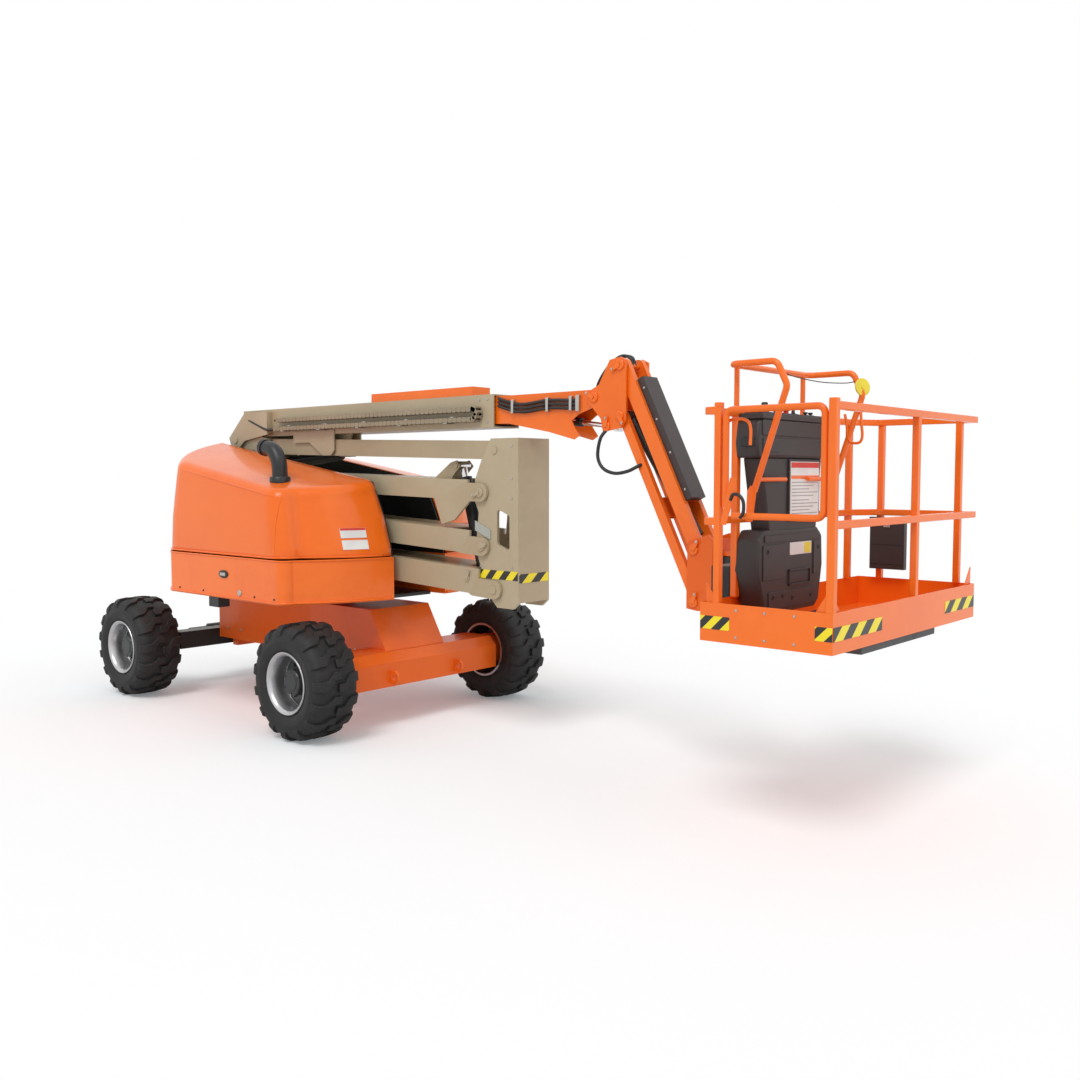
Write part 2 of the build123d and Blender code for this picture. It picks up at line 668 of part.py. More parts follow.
with BuildPart() as fly_boom:
    fly_outline = [(fly_rear, fly_low), (fly_front, fly_low), (fly_front, fly_high), (fly_rear, fly_high)]
    prism(side(), fly_outline, 2 * fly_half)
    box((fly_rear - 5, fly_front + 5), (-fly_half + fly_wall, fly_half - fly_wall), (fly_low + fly_wall, fly_high - fly_wall), Mode.SUBTRACT)
    # open beneath at the nose, for the levelling cylinder
    box((2440, fly_front + 5), (-55, 55), (fly_low - 5, fly_low + fly_wall + 5), Mode.SUBTRACT)
    box((fly_front - 190, fly_front + 5), (-fly_half - 5, fly_half + 5), (fly_low - 5, fly_high - 25), Mode.SUBTRACT)
    # the nose's side plates leave an arc open about the knuckle's pin, where the levelling pin swings
    nose_outline = [
        (2360, 2236),
        (2730, 2168),
        (2944, 2114),
        (2990, 2140),
        (2950, 2190),
        (2922, 2240),
        (2975, 2275),
        (knuckle_pin[0] - 10, knuckle_pin[1] - 55),
        (knuckle_pin[0] + 40, knuckle_pin[1] - 40),
        (knuckle_pin[0] + 50, knuckle_pin[1]),
        (knuckle_pin[0] + 40, knuckle_pin[1] + 35),
        (knuckle_pin[0] - 30, knuckle_pin[1] + 52),
        (2788, 2400),
        (2360, 2300),
    ]
    for hand in (1, -1):
        prism(side(hand * (fly_half - fly_wall / 2)), nose_outline, fly_wall)
    pin(level_foot, -fly_half, fly_half, 15)
    pin(knuckle_pin, -knuckle_in - knuckle_t - 6, knuckle_in + knuckle_t + 6, pin_r)
save("fly_boom", fly_boom)

with BuildPart() as boom_knuckle:
    knuckle_outline = [
        (3256, 2608),
        (3168, 2456),
        (3090, 2420),
        (3082, 2350),
        (3185, 2240),
        (3205, 2156),
        (3345, 2177),
        (3385, 2220),
        (3385, 2600),
        (3340, 2622),
    ]
    for hand in (1, -1):
        prism(side(hand * (knuckle_in + knuckle_t / 2)), knuckle_outline, knuckle_t)
        pin(knuckle_pin, hand * (knuckle_in - 5), hand * (knuckle_in + knuckle_t + 5), pin_r + pin_clear, Mode.SUBTRACT)
    for point in (jib_top, jib_low):
        pin(point, -knuckle_in - knuckle_t - 6, knuckle_in + knuckle_t + 6, jib_pin_r)
    for hand in (1, -1):
        pin(level_pin, hand * 32, hand * knuckle_in, 15)
    box((3235, 3256), (-knuckle_in, knuckle_in), (2300, 2560))
save("boom_knuckle", boom_knuckle)

# --- jib --------------------------------------------------------------------------------------------
jib_length = hypot(*jib_run)
with BuildPart() as jib_arm:
    for hand in (1, -1):
        bar(hand * (jib_half - jib_bar / 2), jib_bar, jib_top, jib_top_end, 90)
        for point in (jib_top, jib_top_end):
            pin(point, hand * (jib_half - jib_bar - 1), hand * (jib_half + 1), jib_pin_r + pin_clear, Mode.SUBTRACT)
    beam(0, 2 * jib_half, jib_top, jib_top_end, 37, 45, 120, 300)
save("jib_arm", jib_arm)

with BuildPart() as jib_link:
    for hand in (1, -1):
        bar(hand * (jib_half - jib_bar / 2), jib_bar, jib_low, jib_low_end, 60)
        for point in (jib_low, jib_low_end):
            pin(point, hand * (jib_half - jib_bar - 1), hand * (jib_half + 1), jib_pin_r + pin_clear, Mode.SUBTRACT)
    beam(0, 2 * (jib_half - jib_bar), jib_low, jib_low_end, -30, -22, 560, 560)
save("jib_link", jib_link)

with BuildPart() as jib_cover:
    beam(0, 150, jib_top, jib_top_end, 45, 95, 130, 300)
save("jib_cover", jib_cover)

with BuildPart() as platform_bracket:
    bracket_outline = [
        (jib_top_end[0] - 45, jib_top_end[1] + 45),
        (turn_x - 130, 1530),
        (turn_x - rotator_r, 1500),
        (turn_x - rotator_r, 1080),
        (jib_low_end[0] + 30, jib_low_end[1] - 50),
        (jib_low_end[0] - 50, jib_low_end[1] - 40),
        (jib_low_end[0] - 50, jib_low_end[1] + 60),
    ]
    for hand in (1, -1):
        prism(side(hand * (knuckle_in + knuckle_t / 2)), bracket_outline, knuckle_t)
    for hand in (1, -1):
        for point in (jib_top_end, jib_low_end):
            pin(point, hand * 52, hand * (knuckle_in + knuckle_t + 6), jib_pin_r)
    box((turn_x - rotator_r - 20, turn_x - rotator_r), (-knuckle_in - knuckle_t, knuckle_in + knuckle_t), (1080, 1500))
save("platform_bracket", platform_bracket)

with BuildPart() as rotator:
    rod((turn_x, 0, rotator_low), (turn_x, 0, rotator_high), rotator_r)
    box((turn_x - rotator_r, turn_x), (-70, 70), (rotator_low, rotator_high))
save("rotator", rotator)

# --- platform ---------------------------------------------------------------------------------------
rail_rear = platform_rear + rail_r
rail_front = platform_front - rail_r
rail_right = platform_right + rail_r
rail_left = platform_left - rail_r
post_foot = toe_high

with BuildPart() as platform_mount:
    rod((turn_x, 0, rotator_high + 6), (turn_x, 0, rotator_high + 26), 90)
    box((turn_x, platform_rear), (-70, 70), (rotator_high + 6, rotator_high + 26))
    rod((turn_x, 0, rotator_low - 26), (turn_x, 0, rotator_low - 6), 90)
    box((turn_x, platform_rear), (-70, 70), (rotator_low - 26, rotator_low - 6))
    box((platform_rear - 30, platform_rear), (-110, 110), (toe_low, rotator_high + 60))
    box((turn_x + rotator_r + 12, platform_rear - 30), (-8, 8), (rotator_low - 6, rotator_high + 6))
save("platform_mount", platform_mount)

with BuildPart() as platform_deck:
    box((platform_rear + toe_t, platform_front - toe_t), (platform_right + toe_t, platform_left - toe_t), (platform_floor - floor_t + 2, platform_floor))
    # the well that the foot switch stands in
    box((4898, 5032), (-572, -448), (platform_floor - floor_t, platform_floor + 1), Mode.SUBTRACT)
save("platform_deck", platform_deck)

with BuildPart() as toe_boards:
    box((platform_rear, platform_front), (platform_right, platform_left), (toe_low, toe_high))
    box((platform_rear + toe_t, platform_front - toe_t), (platform_right + toe_t, platform_left - toe_t), (toe_low - 5, toe_high + 5), Mode.SUBTRACT)
save("toe_boards", toe_boards)

# Posts that carry the rails: x, y.
posts = [
    (rail_front, rail_right),
    (rail_front, 30),
    (rail_front, rail_left),
    (platform_rear + 150, rail_left),
    (rail_rear, 730),
    (rail_rear, 230),
    (rail_rear, -600),
    (platform_rear + 90, rail_right),
]
with BuildPart() as platform_posts:
    for x, y in posts:
        rod((x, y, post_foot), (x, y, rail_mid - rail_r), rail_r - 1)
        rod((x, y, rail_mid + rail_r), (x, y, rail_top - rail_r), rail_r - 1)
save("platform_posts", platform_posts)

with BuildPart() as top_rail:
    pipe(
        [
            (platform_rear + 90, rail_right, rail_top),
            (rail_rear, rail_right, rail_top),
            (rail_rear, 730, rail_top),
            (platform_rear + 150, rail_left, rail_top),
            (rail_front, rail_left, rail_top),
            (rail_front, rail_right, rail_top),
        ],
        40,
        rail_r,
    )
save("top_rail", top_rail)

with BuildPart() as mid_rail:
    pipe(
        [
            (platform_rear + 90, rail_right, rail_mid),
            (rail_rear, rail_right, rail_mid),
            (rail_rear, 730, rail_mid),
            (platform_rear + 150, rail_left, rail_mid),
            (rail_front, rail_left, rail_mid),
            (rail_front, rail_right, rail_mid),
        ],
        40,
        rail_r,
    )
save("mid_rail", mid_rail)

guard_right = -670
guard_left = 190
guard_top = 2455
guard_r = 17
with BuildPart() as guard_rail:
    guard_leg = [(4620, 1800), (4800, 2330), (4740, guard_top), (rail_rear, guard_top)]
    pipe(
        [(x, guard_right, z) for x, z in guard_leg] + [(x, guard_left, z) for x, z in reversed(guard_leg)],
        50,
        guard_r,
    )
    for y in (-600, 120):
        rod((rail_rear, y, rail_top + rail_r), (rail_rear, y, guard_top), guard_r - 3)
    for y0, y1 in ((guard_right, -380), (-130, guard_left)):
        rod((4640, y0, 1860), (4640, y1, 1860), 11)
save("guard_rail", guard_rail)

with BuildPart() as document_box:
    box((4560, 4780), (850, 890), (1300, 1600))
save("document_box", document_box)

with BuildPart() as foot_switch:
    prism(side(-510), [(4900, 1042), (5030, 1042), (5030, 1090), (4960, 1150), (4900, 1150)], 120)
save("foot_switch", foot_switch)

with BuildPart() as platform_gate:
    pipe(
        [
            (gate_rear + 20, rail_right, gate_low + 40),
            (gate_rear + 20, rail_right, rail_top),
            (gate_front, rail_right, rail_top),
            (gate_front, rail_right, gate_low),
            (gate_rear + 60, rail_right, gate_low),
        ],
        38,
        rail_r - 2,
    )
save("platform_gate", platform_gate)

with BuildPart() as control_console:
    box((platform_rear + 45, platform_rear + 170), (-600, 100), (1960, 2180))
    box((platform_rear + 45, platform_rear + 150), (-380, -130), (1500, 1960))
    box((platform_rear + 45, platform_rear + 170), (-530, -10), (1245, 1500))
save("control_console", control_console)
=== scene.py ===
import json
import math

import bmesh
import bpy
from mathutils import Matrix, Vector


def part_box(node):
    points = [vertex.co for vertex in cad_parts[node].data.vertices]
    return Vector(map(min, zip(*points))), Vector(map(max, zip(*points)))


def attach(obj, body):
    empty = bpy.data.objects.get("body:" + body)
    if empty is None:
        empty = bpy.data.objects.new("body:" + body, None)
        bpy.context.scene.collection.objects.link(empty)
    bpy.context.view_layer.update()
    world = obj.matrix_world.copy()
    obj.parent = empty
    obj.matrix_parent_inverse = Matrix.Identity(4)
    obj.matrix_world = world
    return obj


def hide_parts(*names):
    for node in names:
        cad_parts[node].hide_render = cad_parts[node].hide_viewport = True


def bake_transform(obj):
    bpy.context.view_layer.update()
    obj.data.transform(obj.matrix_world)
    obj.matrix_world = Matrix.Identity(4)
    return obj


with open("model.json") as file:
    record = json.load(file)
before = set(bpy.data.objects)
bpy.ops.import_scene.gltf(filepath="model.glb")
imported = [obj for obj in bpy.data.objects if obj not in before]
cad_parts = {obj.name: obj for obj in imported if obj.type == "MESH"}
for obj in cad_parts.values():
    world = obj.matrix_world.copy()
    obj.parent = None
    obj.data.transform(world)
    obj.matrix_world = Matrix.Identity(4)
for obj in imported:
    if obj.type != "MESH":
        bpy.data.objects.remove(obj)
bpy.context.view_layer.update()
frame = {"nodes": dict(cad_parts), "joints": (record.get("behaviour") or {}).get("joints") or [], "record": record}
print("frame loaded")

joints = {j["name"]: j for j in frame["joints"]}
slewX = joints["slew"]["pos_m"][0]


def at(x, y, z):
    return Vector((slewX + x, y, z))


# camera and view transform
shot = {"place": (7.393, -5.439, 1.887), "turn": 41.642, "down": 3.569, "lens": 35.164, "sensor": 36.0}


def addCamera():
    turn, down = math.radians(shot["turn"]), math.radians(shot["down"])
    look = Vector((-math.sin(turn) * math.cos(down), math.cos(turn) * math.cos(down), -math.sin(down)))
    data = bpy.data.cameras.new("shotCamera")
    data.lens = shot["lens"]
    data.sensor_width = shot["sensor"]
    data.clip_end = 200
    cam = bpy.data.objects.new("shotCamera", data)
    bpy.context.collection.objects.link(cam)
    cam.location = at(*shot["place"])
    cam.rotation_euler = look.to_track_quat("-Z", "Y").to_euler()
    bpy.context.scene.camera = cam


addCamera()
bpy.context.scene.view_settings.view_transform = "Standard"


# a socket that takes part in sums, and a sheet of nodes
class Wire:
    def __init__(self, sheet, socket):
        self.sheet = sheet
        self.socket = socket

    def sum(self, operation, first, second):
        return self.sheet.node("Math", {"operation": operation}, {0: first, 1: second})

    def __add__(self, other):
        return self.sum("ADD", self, other)

    def __radd__(self, other):
        return self.sum("ADD", other, self)

    def __sub__(self, other):
        return self.sum("SUBTRACT", self, other)

    def __rsub__(self, other):
        return self.sum("SUBTRACT", other, self)

    def __mul__(self, other):
        return self.sum("MULTIPLY", self, other)

    def __rmul__(self, other):
        return self.sum("MULTIPLY", other, self)

    def __truediv__(self, other):
        return self.sum("DIVIDE", self, other)

    def __rtruediv__(self, other):
        return self.sum("DIVIDE", other, self)


class Sheet:
    def __init__(self, owner):
        self.owner = bpy.data.materials.new(owner) if isinstance(owner, str) else owner
        self.owner.use_nodes = True
        self.tree = self.owner.node_tree
        self.tree.nodes.clear()

    def node(self, kind, settings=None, sockets=None, out=0):
        made = self.tree.nodes.new("ShaderNode" + kind)
        for key, value in (settings or {}).items():
            setattr(made, key, value)
        for key, value in (sockets or {}).items():
            if isinstance(value, Wire):
                self.tree.links.new(value.socket, made.inputs[key])
            else:
                made.inputs[key].default_value = value
        return Wire(self, made.outputs[out]) if made.outputs else None

    def blend(self, factor, under, over):
        return self.node("Mix", {"data_type": "RGBA"}, {0: factor, 6: under, 7: over}, 2)

    def noise(self, scale, detail, rough, place):
        sockets = {"Scale": scale, "Detail": detail, "Roughness": rough, "Vector": place}
        return self.node("TexNoise", None, sockets)

    def bump(self, strength, distance, height):
        return self.node("Bump", None, {"Strength": strength, "Distance": distance, "Height": height})

    def objectPlace(self):
        return self.node("TexCoord", None, None, 3)

    def finish(self, base, rough, metallic, normal, coat=0.0, extra=None):
        sockets = {"Base Color": base, "Roughness": rough, "Metallic": metallic, "Normal": normal}
        sockets.update({"Coat Weight": coat, "Coat Roughness": 0.05})
        sockets.update(extra or {})
        shader = self.node("BsdfPrincipled", None, sockets)
        self.node("OutputMaterial", None, {"Surface": shader})
        return self.owner


def rgb(r, g, b):
    return (r, g, b, 1.0)


def smoothStep(sheet, value, low, high):
    sockets = {"Value": value, "From Min": low, "From Max": high}
    return sheet.node("MapRange", {"interpolation_type": "SMOOTHSTEP"}, sockets)


# finishes
def clouded(name, broad, fine):
    sheet = Sheet(name)
    place = sheet.objectPlace()
    return sheet, sheet.noise(*broad, place), sheet.noise(*fine, place)


def shaded(colour, share):
    return rgb(*(c * share for c in colour))


def enamel(name, colour, shade, roughness, coat, dust, peel=0.003):
    sheet = Sheet(name)
    place = sheet.objectPlace()
    cloud = sheet.noise(1.7, 5, 0.6, place)
    fleck = sheet.noise(14, 5, 0.55, place)
    tone = sheet.blend(smoothStep(sheet, cloud, 0.35, 0.68), rgb(*colour), rgb(*shade))
    # painted highlight: convex edges, found by Pointiness, get a brighter copy of the paint colour in patches set by
    # the fleck noise
    bent = sheet.node("NewGeometry", None, None, "Pointiness")
    edge = smoothStep(sheet, bent, 0.52, 0.6)
    facing = sheet.node("NewGeometry", None, None, "Normal")
    lift = sheet.node("SeparateXYZ", None, {"Vector": facing}, "Z")
    settled = smoothStep(sheet, lift, 0.55, 1.0) * smoothStep(sheet, fleck * 0.6 + cloud * 0.5, 0.48, 0.72) * dust
    base = sheet.blend(settled, tone, rgb(0.42, 0.36, 0.28))
    # blend in the painted edge highlight on convex edges
    base = sheet.blend(edge * fleck * 0.5, base, rgb(colour[0] * 1.15, colour[1] * 1.2 + 0.02, colour[2] * 1.3 + 0.02))
    rough = roughness + fleck * 0.08 + settled * 0.5
    ripple = sheet.noise(90, 2, 0.5, place)
    bump = sheet.bump(peel * 10, 0.0004, ripple)
    gloss = {"Coat Roughness": 0.06, "Specular IOR Level": 0.3}
    return sheet.finish(base, rough, 0.0, bump, coat * (1 - settled), gloss)


def castMetal(name, colour, roughness, grain):
    sheet, rust, pit = clouded(name, (9, 6, 0.65), (grain, 4, 0.6))
    base = sheet.blend(smoothStep(sheet, rust, 0.5, 0.75), rgb(*colour), shaded(colour, 0.6))
    return sheet.finish(base, roughness + rust * 0.15, 0.35, sheet.bump(0.35, 0.001, pit))


def rubber(name, colour, roughness, grain, dusty):
    sheet, cloud, grit = clouded(name, (6, 5, 0.6), (grain, 4, 0.6))
    scuff = smoothStep(sheet, cloud, 0.45, 0.72) * dusty
    base = sheet.blend(scuff, rgb(*colour), rgb(0.08, 0.075, 0.07))
    return sheet.finish(base, roughness + grit * 0.12, 0.0, sheet.bump(0.25, 0.0012, grit))


def moulded(name, colour, roughness, grain=420):
    sheet, cloud, grit = clouded(name, (4, 4, 0.55), (grain, 3, 0.5))
    base = sheet.blend(smoothStep(sheet, cloud, 0.4, 0.7) * 0.5, rgb(*colour), shaded(colour, 1.35))
    return sheet.finish(base, roughness + grit * 0.1, 0.0, sheet.bump(0.3, 0.0007, grit))


def brightMetal(name, colour, roughness, streak=0.0):
    sheet, cloud, fine = clouded(name, (11, 5, 0.6), (300, 2, 0.5))
    base = sheet.blend(smoothStep(sheet, cloud, 0.4, 0.75) * 0.35, rgb(*colour), shaded(colour, 0.7))
    return sheet.finish(base, roughness + cloud * 0.12, 1.0, sheet.bump(0.1 + streak, 0.0003, fine))


def hazard(name, direction, width):
    sheet = Sheet(name)
    place = sheet.objectPlace()
    dot = sheet.node("VectorMath", {"operation": "DOT_PRODUCT"}, {0: place, 1: direction}, "Value")
    phase = sheet.node("Math", {"operation": "FRACT"}, {0: dot / (2 * width)})
    dark = smoothStep(sheet, phase, 0.495, 0.505)
    wear = sheet.noise(60, 5, 0.6, place)
    yellow = sheet.blend(wear * 0.3, rgb(0.95, 0.78, 0.005), rgb(0.8, 0.6, 0.02))
    base = sheet.blend(dark, yellow, rgb(0.012, 0.012, 0.012))
    bump = sheet.bump(0.08, 0.0004, wear)
    return sheet.finish(base, 0.38 + wear * 0.1, 0.0, bump, 0.2)


orange = enamel("orangeEnamel", (0.92, 0.168, 0.007), (0.87, 0.145, 0.005), 0.26, 0.3, 0.06, 0.0015)
orangeFrame = enamel("orangeFrameEnamel", (0.86, 0.142, 0.008), (0.80, 0.12, 0.006), 0.36, 0.2, 0.15, 0.002)
tan = enamel("tanEnamel", (0.47, 0.38, 0.245), (0.43, 0.345, 0.22), 0.42, 0.2, 0.15)
blackPaint = enamel("blackEnamel", (0.018, 0.018, 0.019), (0.026, 0.026, 0.026), 0.42, 0.15, 0.3)
tyreRubber = rubber("tyreRubber", (0.009, 0.009, 0.0095), 0.6, 160, 0.1)
rimSilver = brightMetal("rimSilver", (0.55, 0.55, 0.56), 0.3)
castIron = castMetal("castIron", (0.09, 0.09, 0.095), 0.55, 140)
chromeRod = brightMetal("chromeRod", (0.78, 0.78, 0.79), 0.12)
zincSteel = brightMetal("zincSteel", (0.5, 0.49, 0.46), 0.32, 0.1)
darkPlastic = moulded("darkPlastic", (0.030, 0.024, 0.0235), 0.45)
coverPlastic = moulded("coverPlastic", (0.042, 0.031, 0.030), 0.42)
blackPlastic = moulded("blackPlastic", (0.011, 0.011, 0.0115), 0.36)
hoseRubber = rubber("hoseRubber", (0.016, 0.016, 0.017), 0.45, 500, 0.12)
carrierNylon = moulded("carrierNylon", (0.30, 0.25, 0.17), 0.6, 260)
webYellow = moulded("yellowPlastic", (0.75, 0.62, 0.04), 0.4)

finishes = {
    "orange": orange,
    "tan": tan,
    "black": blackPaint,
    "tyre": tyreRubber,
    "rim": rimSilver,
    "steel": castIron,
    "rod": chromeRod,
    "plastic": darkPlastic,
}
frameNodes = ("chassis_frame", "drive_axle", "tie_down_lugs", "platform_bracket", "platform_mount", "foot_switch")
slotOf = {row["node"]: row["material_slot"] for row in frame["record"]["subparts"]}
for name, node in frame["nodes"].items():
    chosen = orangeFrame if name in frameNodes else finishes[slotOf[name]]
    if name == "jib_cover":
        chosen = coverPlastic
    if name in ("power_units", "counterweight"):
        chosen = blackPaint
    node.data.materials.clear()
    node.data.materials.append(chosen)
print("finishes made")


# mesh tools
def basis(axis):
    w = Vector(axis).normalized()
    u = w.orthogonal().normalized()
    return u, w.cross(u), w


def around(angle):
    return Vector((math.cos(angle), 0, math.sin(angle)))


def addLathe(bm, centre, axis, profile, steps, slot=0):
    u, v, w = basis(axis)
    rings = []
    for along, radius in profile:
        if radius < 1e-6:
            rings.append([bm.verts.new(centre + w * along)])
            continue
        ring = []
        for i in range(steps):
            a = 2 * math.pi * i / steps
            ring.append(bm.verts.new(centre + w * along + (u * math.cos(a) + v * math.sin(a)) * radius))
        rings.append(ring)
    for low, high in zip(rings, rings[1:]):
        for i in range(steps):
            j = (i + 1) % steps
            corners = [low[i % len(low)], low[j % len(low)], high[j % len(high)], high[i % len(high)]]
            corners = list(dict.fromkeys(corners))
            if len(corners) > 2:
                face = bm.faces.new(corners)
                face.material_index = slot
                face.smooth = True


def addBox(bm, low, high, slot=0):
    corners = [Vector((x, y, z)) for x in (low[0], high[0]) for y in (low[1], high[1]) for z in (low[2], high[2])]
    verts = [bm.verts.new(c) for c in corners]
    for face in ((0, 1, 3, 2), (4, 6, 7, 5), (0, 4, 5, 1), (2, 3, 7, 6), (0, 2, 6, 4), (1, 5, 7, 3)):
        made = bm.faces.new([verts[i] for i in face])
        made.material_index = slot


def addSlab(bm, outline, origin, u, v, thick, slot=0):
    u, v = Vector(u), Vector(v)
    w = u.cross(v).normalized() * thick / 2
    front = [bm.verts.new(Vector(origin) + u * p[0] + v * p[1] + w) for p in outline]
    back = [bm.verts.new(Vector(origin) + u * p[0] + v * p[1] - w) for p in outline]
    faces = [bm.faces.new(front), bm.faces.new(list(reversed(back)))]
    for i in range(len(outline)):
        j = (i + 1) % len(outline)
        faces.append(bm.faces.new((front[j], front[i], back[i], back[j])))
    for face in faces:
        face.material_index = slot


def addBolt(bm, centre, axis, size, slot=0, height=None):
    height = height or size * 0.65
    u, v, w = basis(axis)
    washer = [(0, 0), (0, size * 1.25), (size * 0.16, size * 1.25), (size * 0.16, 0)]
    addLathe(bm, Vector(centre), axis, washer, 20, slot)
    turned = [(math.cos(math.pi * k / 3), math.sin(math.pi * k / 3)) for k in range(6)]
    base = Vector(centre) + w * size * 0.16
    low = [bm.verts.new(base + (u * c + v * s) * size) for c, s in turned]
    mid = [bm.verts.new(base + w * height * 0.85 + (u * c + v * s) * size) for c, s in turned]
    top = [bm.verts.new(base + w * height + (u * c + v * s) * size * 0.85) for c, s in turned]
    joinRings(bm, (low, mid, top), slot)
    bm.faces.new(top).material_index = slot


def joinRings(bm, rings, slot=0, smooth=False):
    for low, high in zip(rings, rings[1:]):
        for i in range(len(low)):
            j = (i + 1) % len(low)
            face = bm.faces.new((low[i], low[j], high[j], high[i]))
            face.material_index = slot
            face.smooth = smooth


def smoothLine(points, steps):
    points = [Vector(p) for p in points]
    ends = [points[0] * 2 - points[1]] + points + [points[-1] * 2 - points[-2]]
    line = []
    for i in range(1, len(ends) - 2):
        p0, p1, p2, p3 = ends[i - 1 : i + 3]
        for k in range(steps):
            t = k / steps
            square, cube = (2 * p0 - 5 * p1 + 4 * p2 - p3) * t * t, (3 * p1 - p0 - 3 * p2 + p3) * t**3
            line.append(0.5 * (2 * p1 + (p2 - p0) * t + square + cube))
    line.append(points[-1])
    return line


def addTube(bm, line, radius, steps, slot=0):
    tangent = (line[1] - line[0]).normalized()
    u = tangent.orthogonal().normalized()
    rings = []
    for i, point in enumerate(line):
        ahead = line[min(i + 1, len(line) - 1)] - line[max(i - 1, 0)]
        turn = tangent.rotation_difference(ahead.normalized())
        u = (turn @ u).normalized()
        tangent = ahead.normalized()
        v = tangent.cross(u)
        turns = [2 * math.pi * k / steps for k in range(steps)]
        rings.append([bm.verts.new(point + (u * math.cos(a) + v * math.sin(a)) * radius) for a in turns])
    joinRings(bm, rings, slot, True)
    bm.faces.new(list(reversed(rings[0]))).material_index = slot
    bm.faces.new(rings[-1]).material_index = slot


def addPiece(name, bm, materials):
    mesh = bpy.data.meshes.new(name)
    bm.to_mesh(mesh)
    bm.free()
    for material in materials:
        mesh.materials.append(material)
    piece = bpy.data.objects.new(name, mesh)
    bpy.context.collection.objects.link(piece)
    return piece


def settle(name, bm, body, materials, slotName, bevel=0.0, angle=35.0, replaces=()):
    bmesh.ops.recalc_face_normals(bm, faces=bm.faces)
    piece = addPiece(name, bm, materials if isinstance(materials, (list, tuple)) else (materials,))
    if bevel:
        mod = piece.modifiers.new("rounded", "BEVEL")
        mod.width = bevel
        mod.segments = 2
        mod.limit_method = "ANGLE"
        mod.angle_limit = math.radians(40)
    piece.data.shade_smooth()
    piece.data.set_sharp_from_angle(angle=math.radians(angle))
    if body:
        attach(piece, body)
    if replaces:
        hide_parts(*replaces)
    return piece


# room: pale floor, white surround, plain soft light
room = {
    "ambient": 0.62,
    "sun": ((-0.25, 0.62, -0.9), 1.25, 24.0),
    "fill": ((-0.9, -0.25, -0.5), 0.35, 60.0),
    "floorTone": 0.84,
    "fade": (4.4, 8.5),
    "lift": 0.18,
    "reach": 90,
}


def addRoom():
    world = bpy.data.worlds.new("paleRoom")
    bpy.context.scene.world = world
    sky = Sheet(world)
    rays = ("Is Camera Ray", "Is Glossy Ray", "Is Transmission Ray")
    seen, shiny, through = [sky.node("LightPath", None, None, ray) for ray in rays]
    shown = sky.node("Math", {"operation": "MINIMUM"}, {0: seen + shiny + through, 1: 1.0})
    strength = shown * (1 - room["ambient"]) + room["ambient"]
    glow = sky.node("Background", None, {"Color": rgb(1, 1, 1), "Strength": strength})
    sky.node("OutputWorld", None, {"Surface": glow})

    for name in ("sun", "fill"):
        direction, strength, spread = room[name]
        data = bpy.data.lights.new(name, "SUN")
        data.energy = strength
        data.angle = math.radians(spread)
        lamp = bpy.data.objects.new(name, data)
        bpy.context.collection.objects.link(lamp)
        lamp.rotation_euler = Vector(direction).to_track_quat("-Z", "Y").to_euler()

    sheet = Sheet("paleFloor")
    tone = rgb(*(room["floorTone"],) * 3)
    matt = sheet.node("BsdfDiffuse", None, {"Color": tone})
    far = sheet.node("VectorMath", {"operation": "LENGTH"}, {0: sheet.objectPlace()}, "Value")
    bright = sheet.node("Emission", None, {"Color": rgb(1, 1, 1), "Strength": 1.0})
    fade = smoothStep(sheet, far, *room["fade"])
    direct = sheet.node("LightPath", None, None, "Is Camera Ray")
    raised = sheet.node("Emission", None, {"Color": rgb(0.93, 1.0, 1.05), "Strength": direct * room["lift"]})
    lit = sheet.node("AddShader", None, {0: matt, 1: raised})
    both = sheet.node("MixShader", None, {0: fade, 1: lit, 2: bright})
    sheet.node("OutputMaterial", None, {"Surface": both})
    bm = bmesh.new()
    r = room["reach"]
    bm.faces.new([bm.verts.new((x, y, -0.0005)) for x, y in ((-r, -r), (r, -r), (r, r), (-r, r))])
    addPiece("paleFloor", bm, (sheet.owner,))


addRoom()
print("room lit")


# wheels
wheel = {
    "radius": 0.419,
    "side": 0.984,
    "axle": 1.1895,
    "lugs": 15,
    "barDeg": 9.5,
    "stepDeg": 8.0,
    "tyre": [
        (0.158, 0.206), (0.161, 0.229), (0.168, 0.236), (0.176, 0.25), (0.1835, 0.285), (0.186, 0.3), (0.186, 0.308),
        (0.184, 0.313), (0.1835, 0.33), (0.176, 0.352), (0.163, 0.374), (0.142, 0.388), (0.1, 0.395), (0.04, 0.397),
    ],
    "bar": (
        (-0.012, 0.419, 0.0), (0.045, 0.419, 0.0), (0.062, 0.4185, 0.45), (0.095, 0.417, 1.0), (0.142, 0.411, 1.1),
        (0.166, 0.397, 1.12), (0.1805, 0.376, 1.1), (0.186, 0.356, 1.05), (0.1855, 0.34, 1.0),
    ),
    "dish": [
        (-0.1735, 0.207), (-0.1735, 0.2235), (-0.158, 0.2235), (-0.156, 0.206), (-0.05, 0.19), (0.05, 0.19),
        (0.156, 0.206), (0.158, 0.2235), (0.169, 0.2245), (0.1735, 0.222), (0.1745, 0.217), (0.171, 0.2115),
        (0.162, 0.2), (0.15, 0.1935), (0.09, 0.1845), (0.042, 0.182), (0.036, 0.178),
    ],
    "disc": [
        (0.036, 0.178), (0.034, 0.165), (0.038, 0.15), (0.038, 0.1),
        (0.045, 0.096), (0.112, 0.094), (0.119, 0.088), (0.119, 0),
    ],
    "back": [(-0.1, 0.186), (0.01, 0.176), (0.012, 0.0)],
    "cap": [(0, 0.062), (0.004, 0.06), (0.004, 0)],
    # how many, the first one's step, out, circle, size and height
    "bolts": ((9, 0, 0.038, 0.128, 0.0125, 0.018), (6, 0.5, 0.1185, 0.078, 0.006, None)),
}


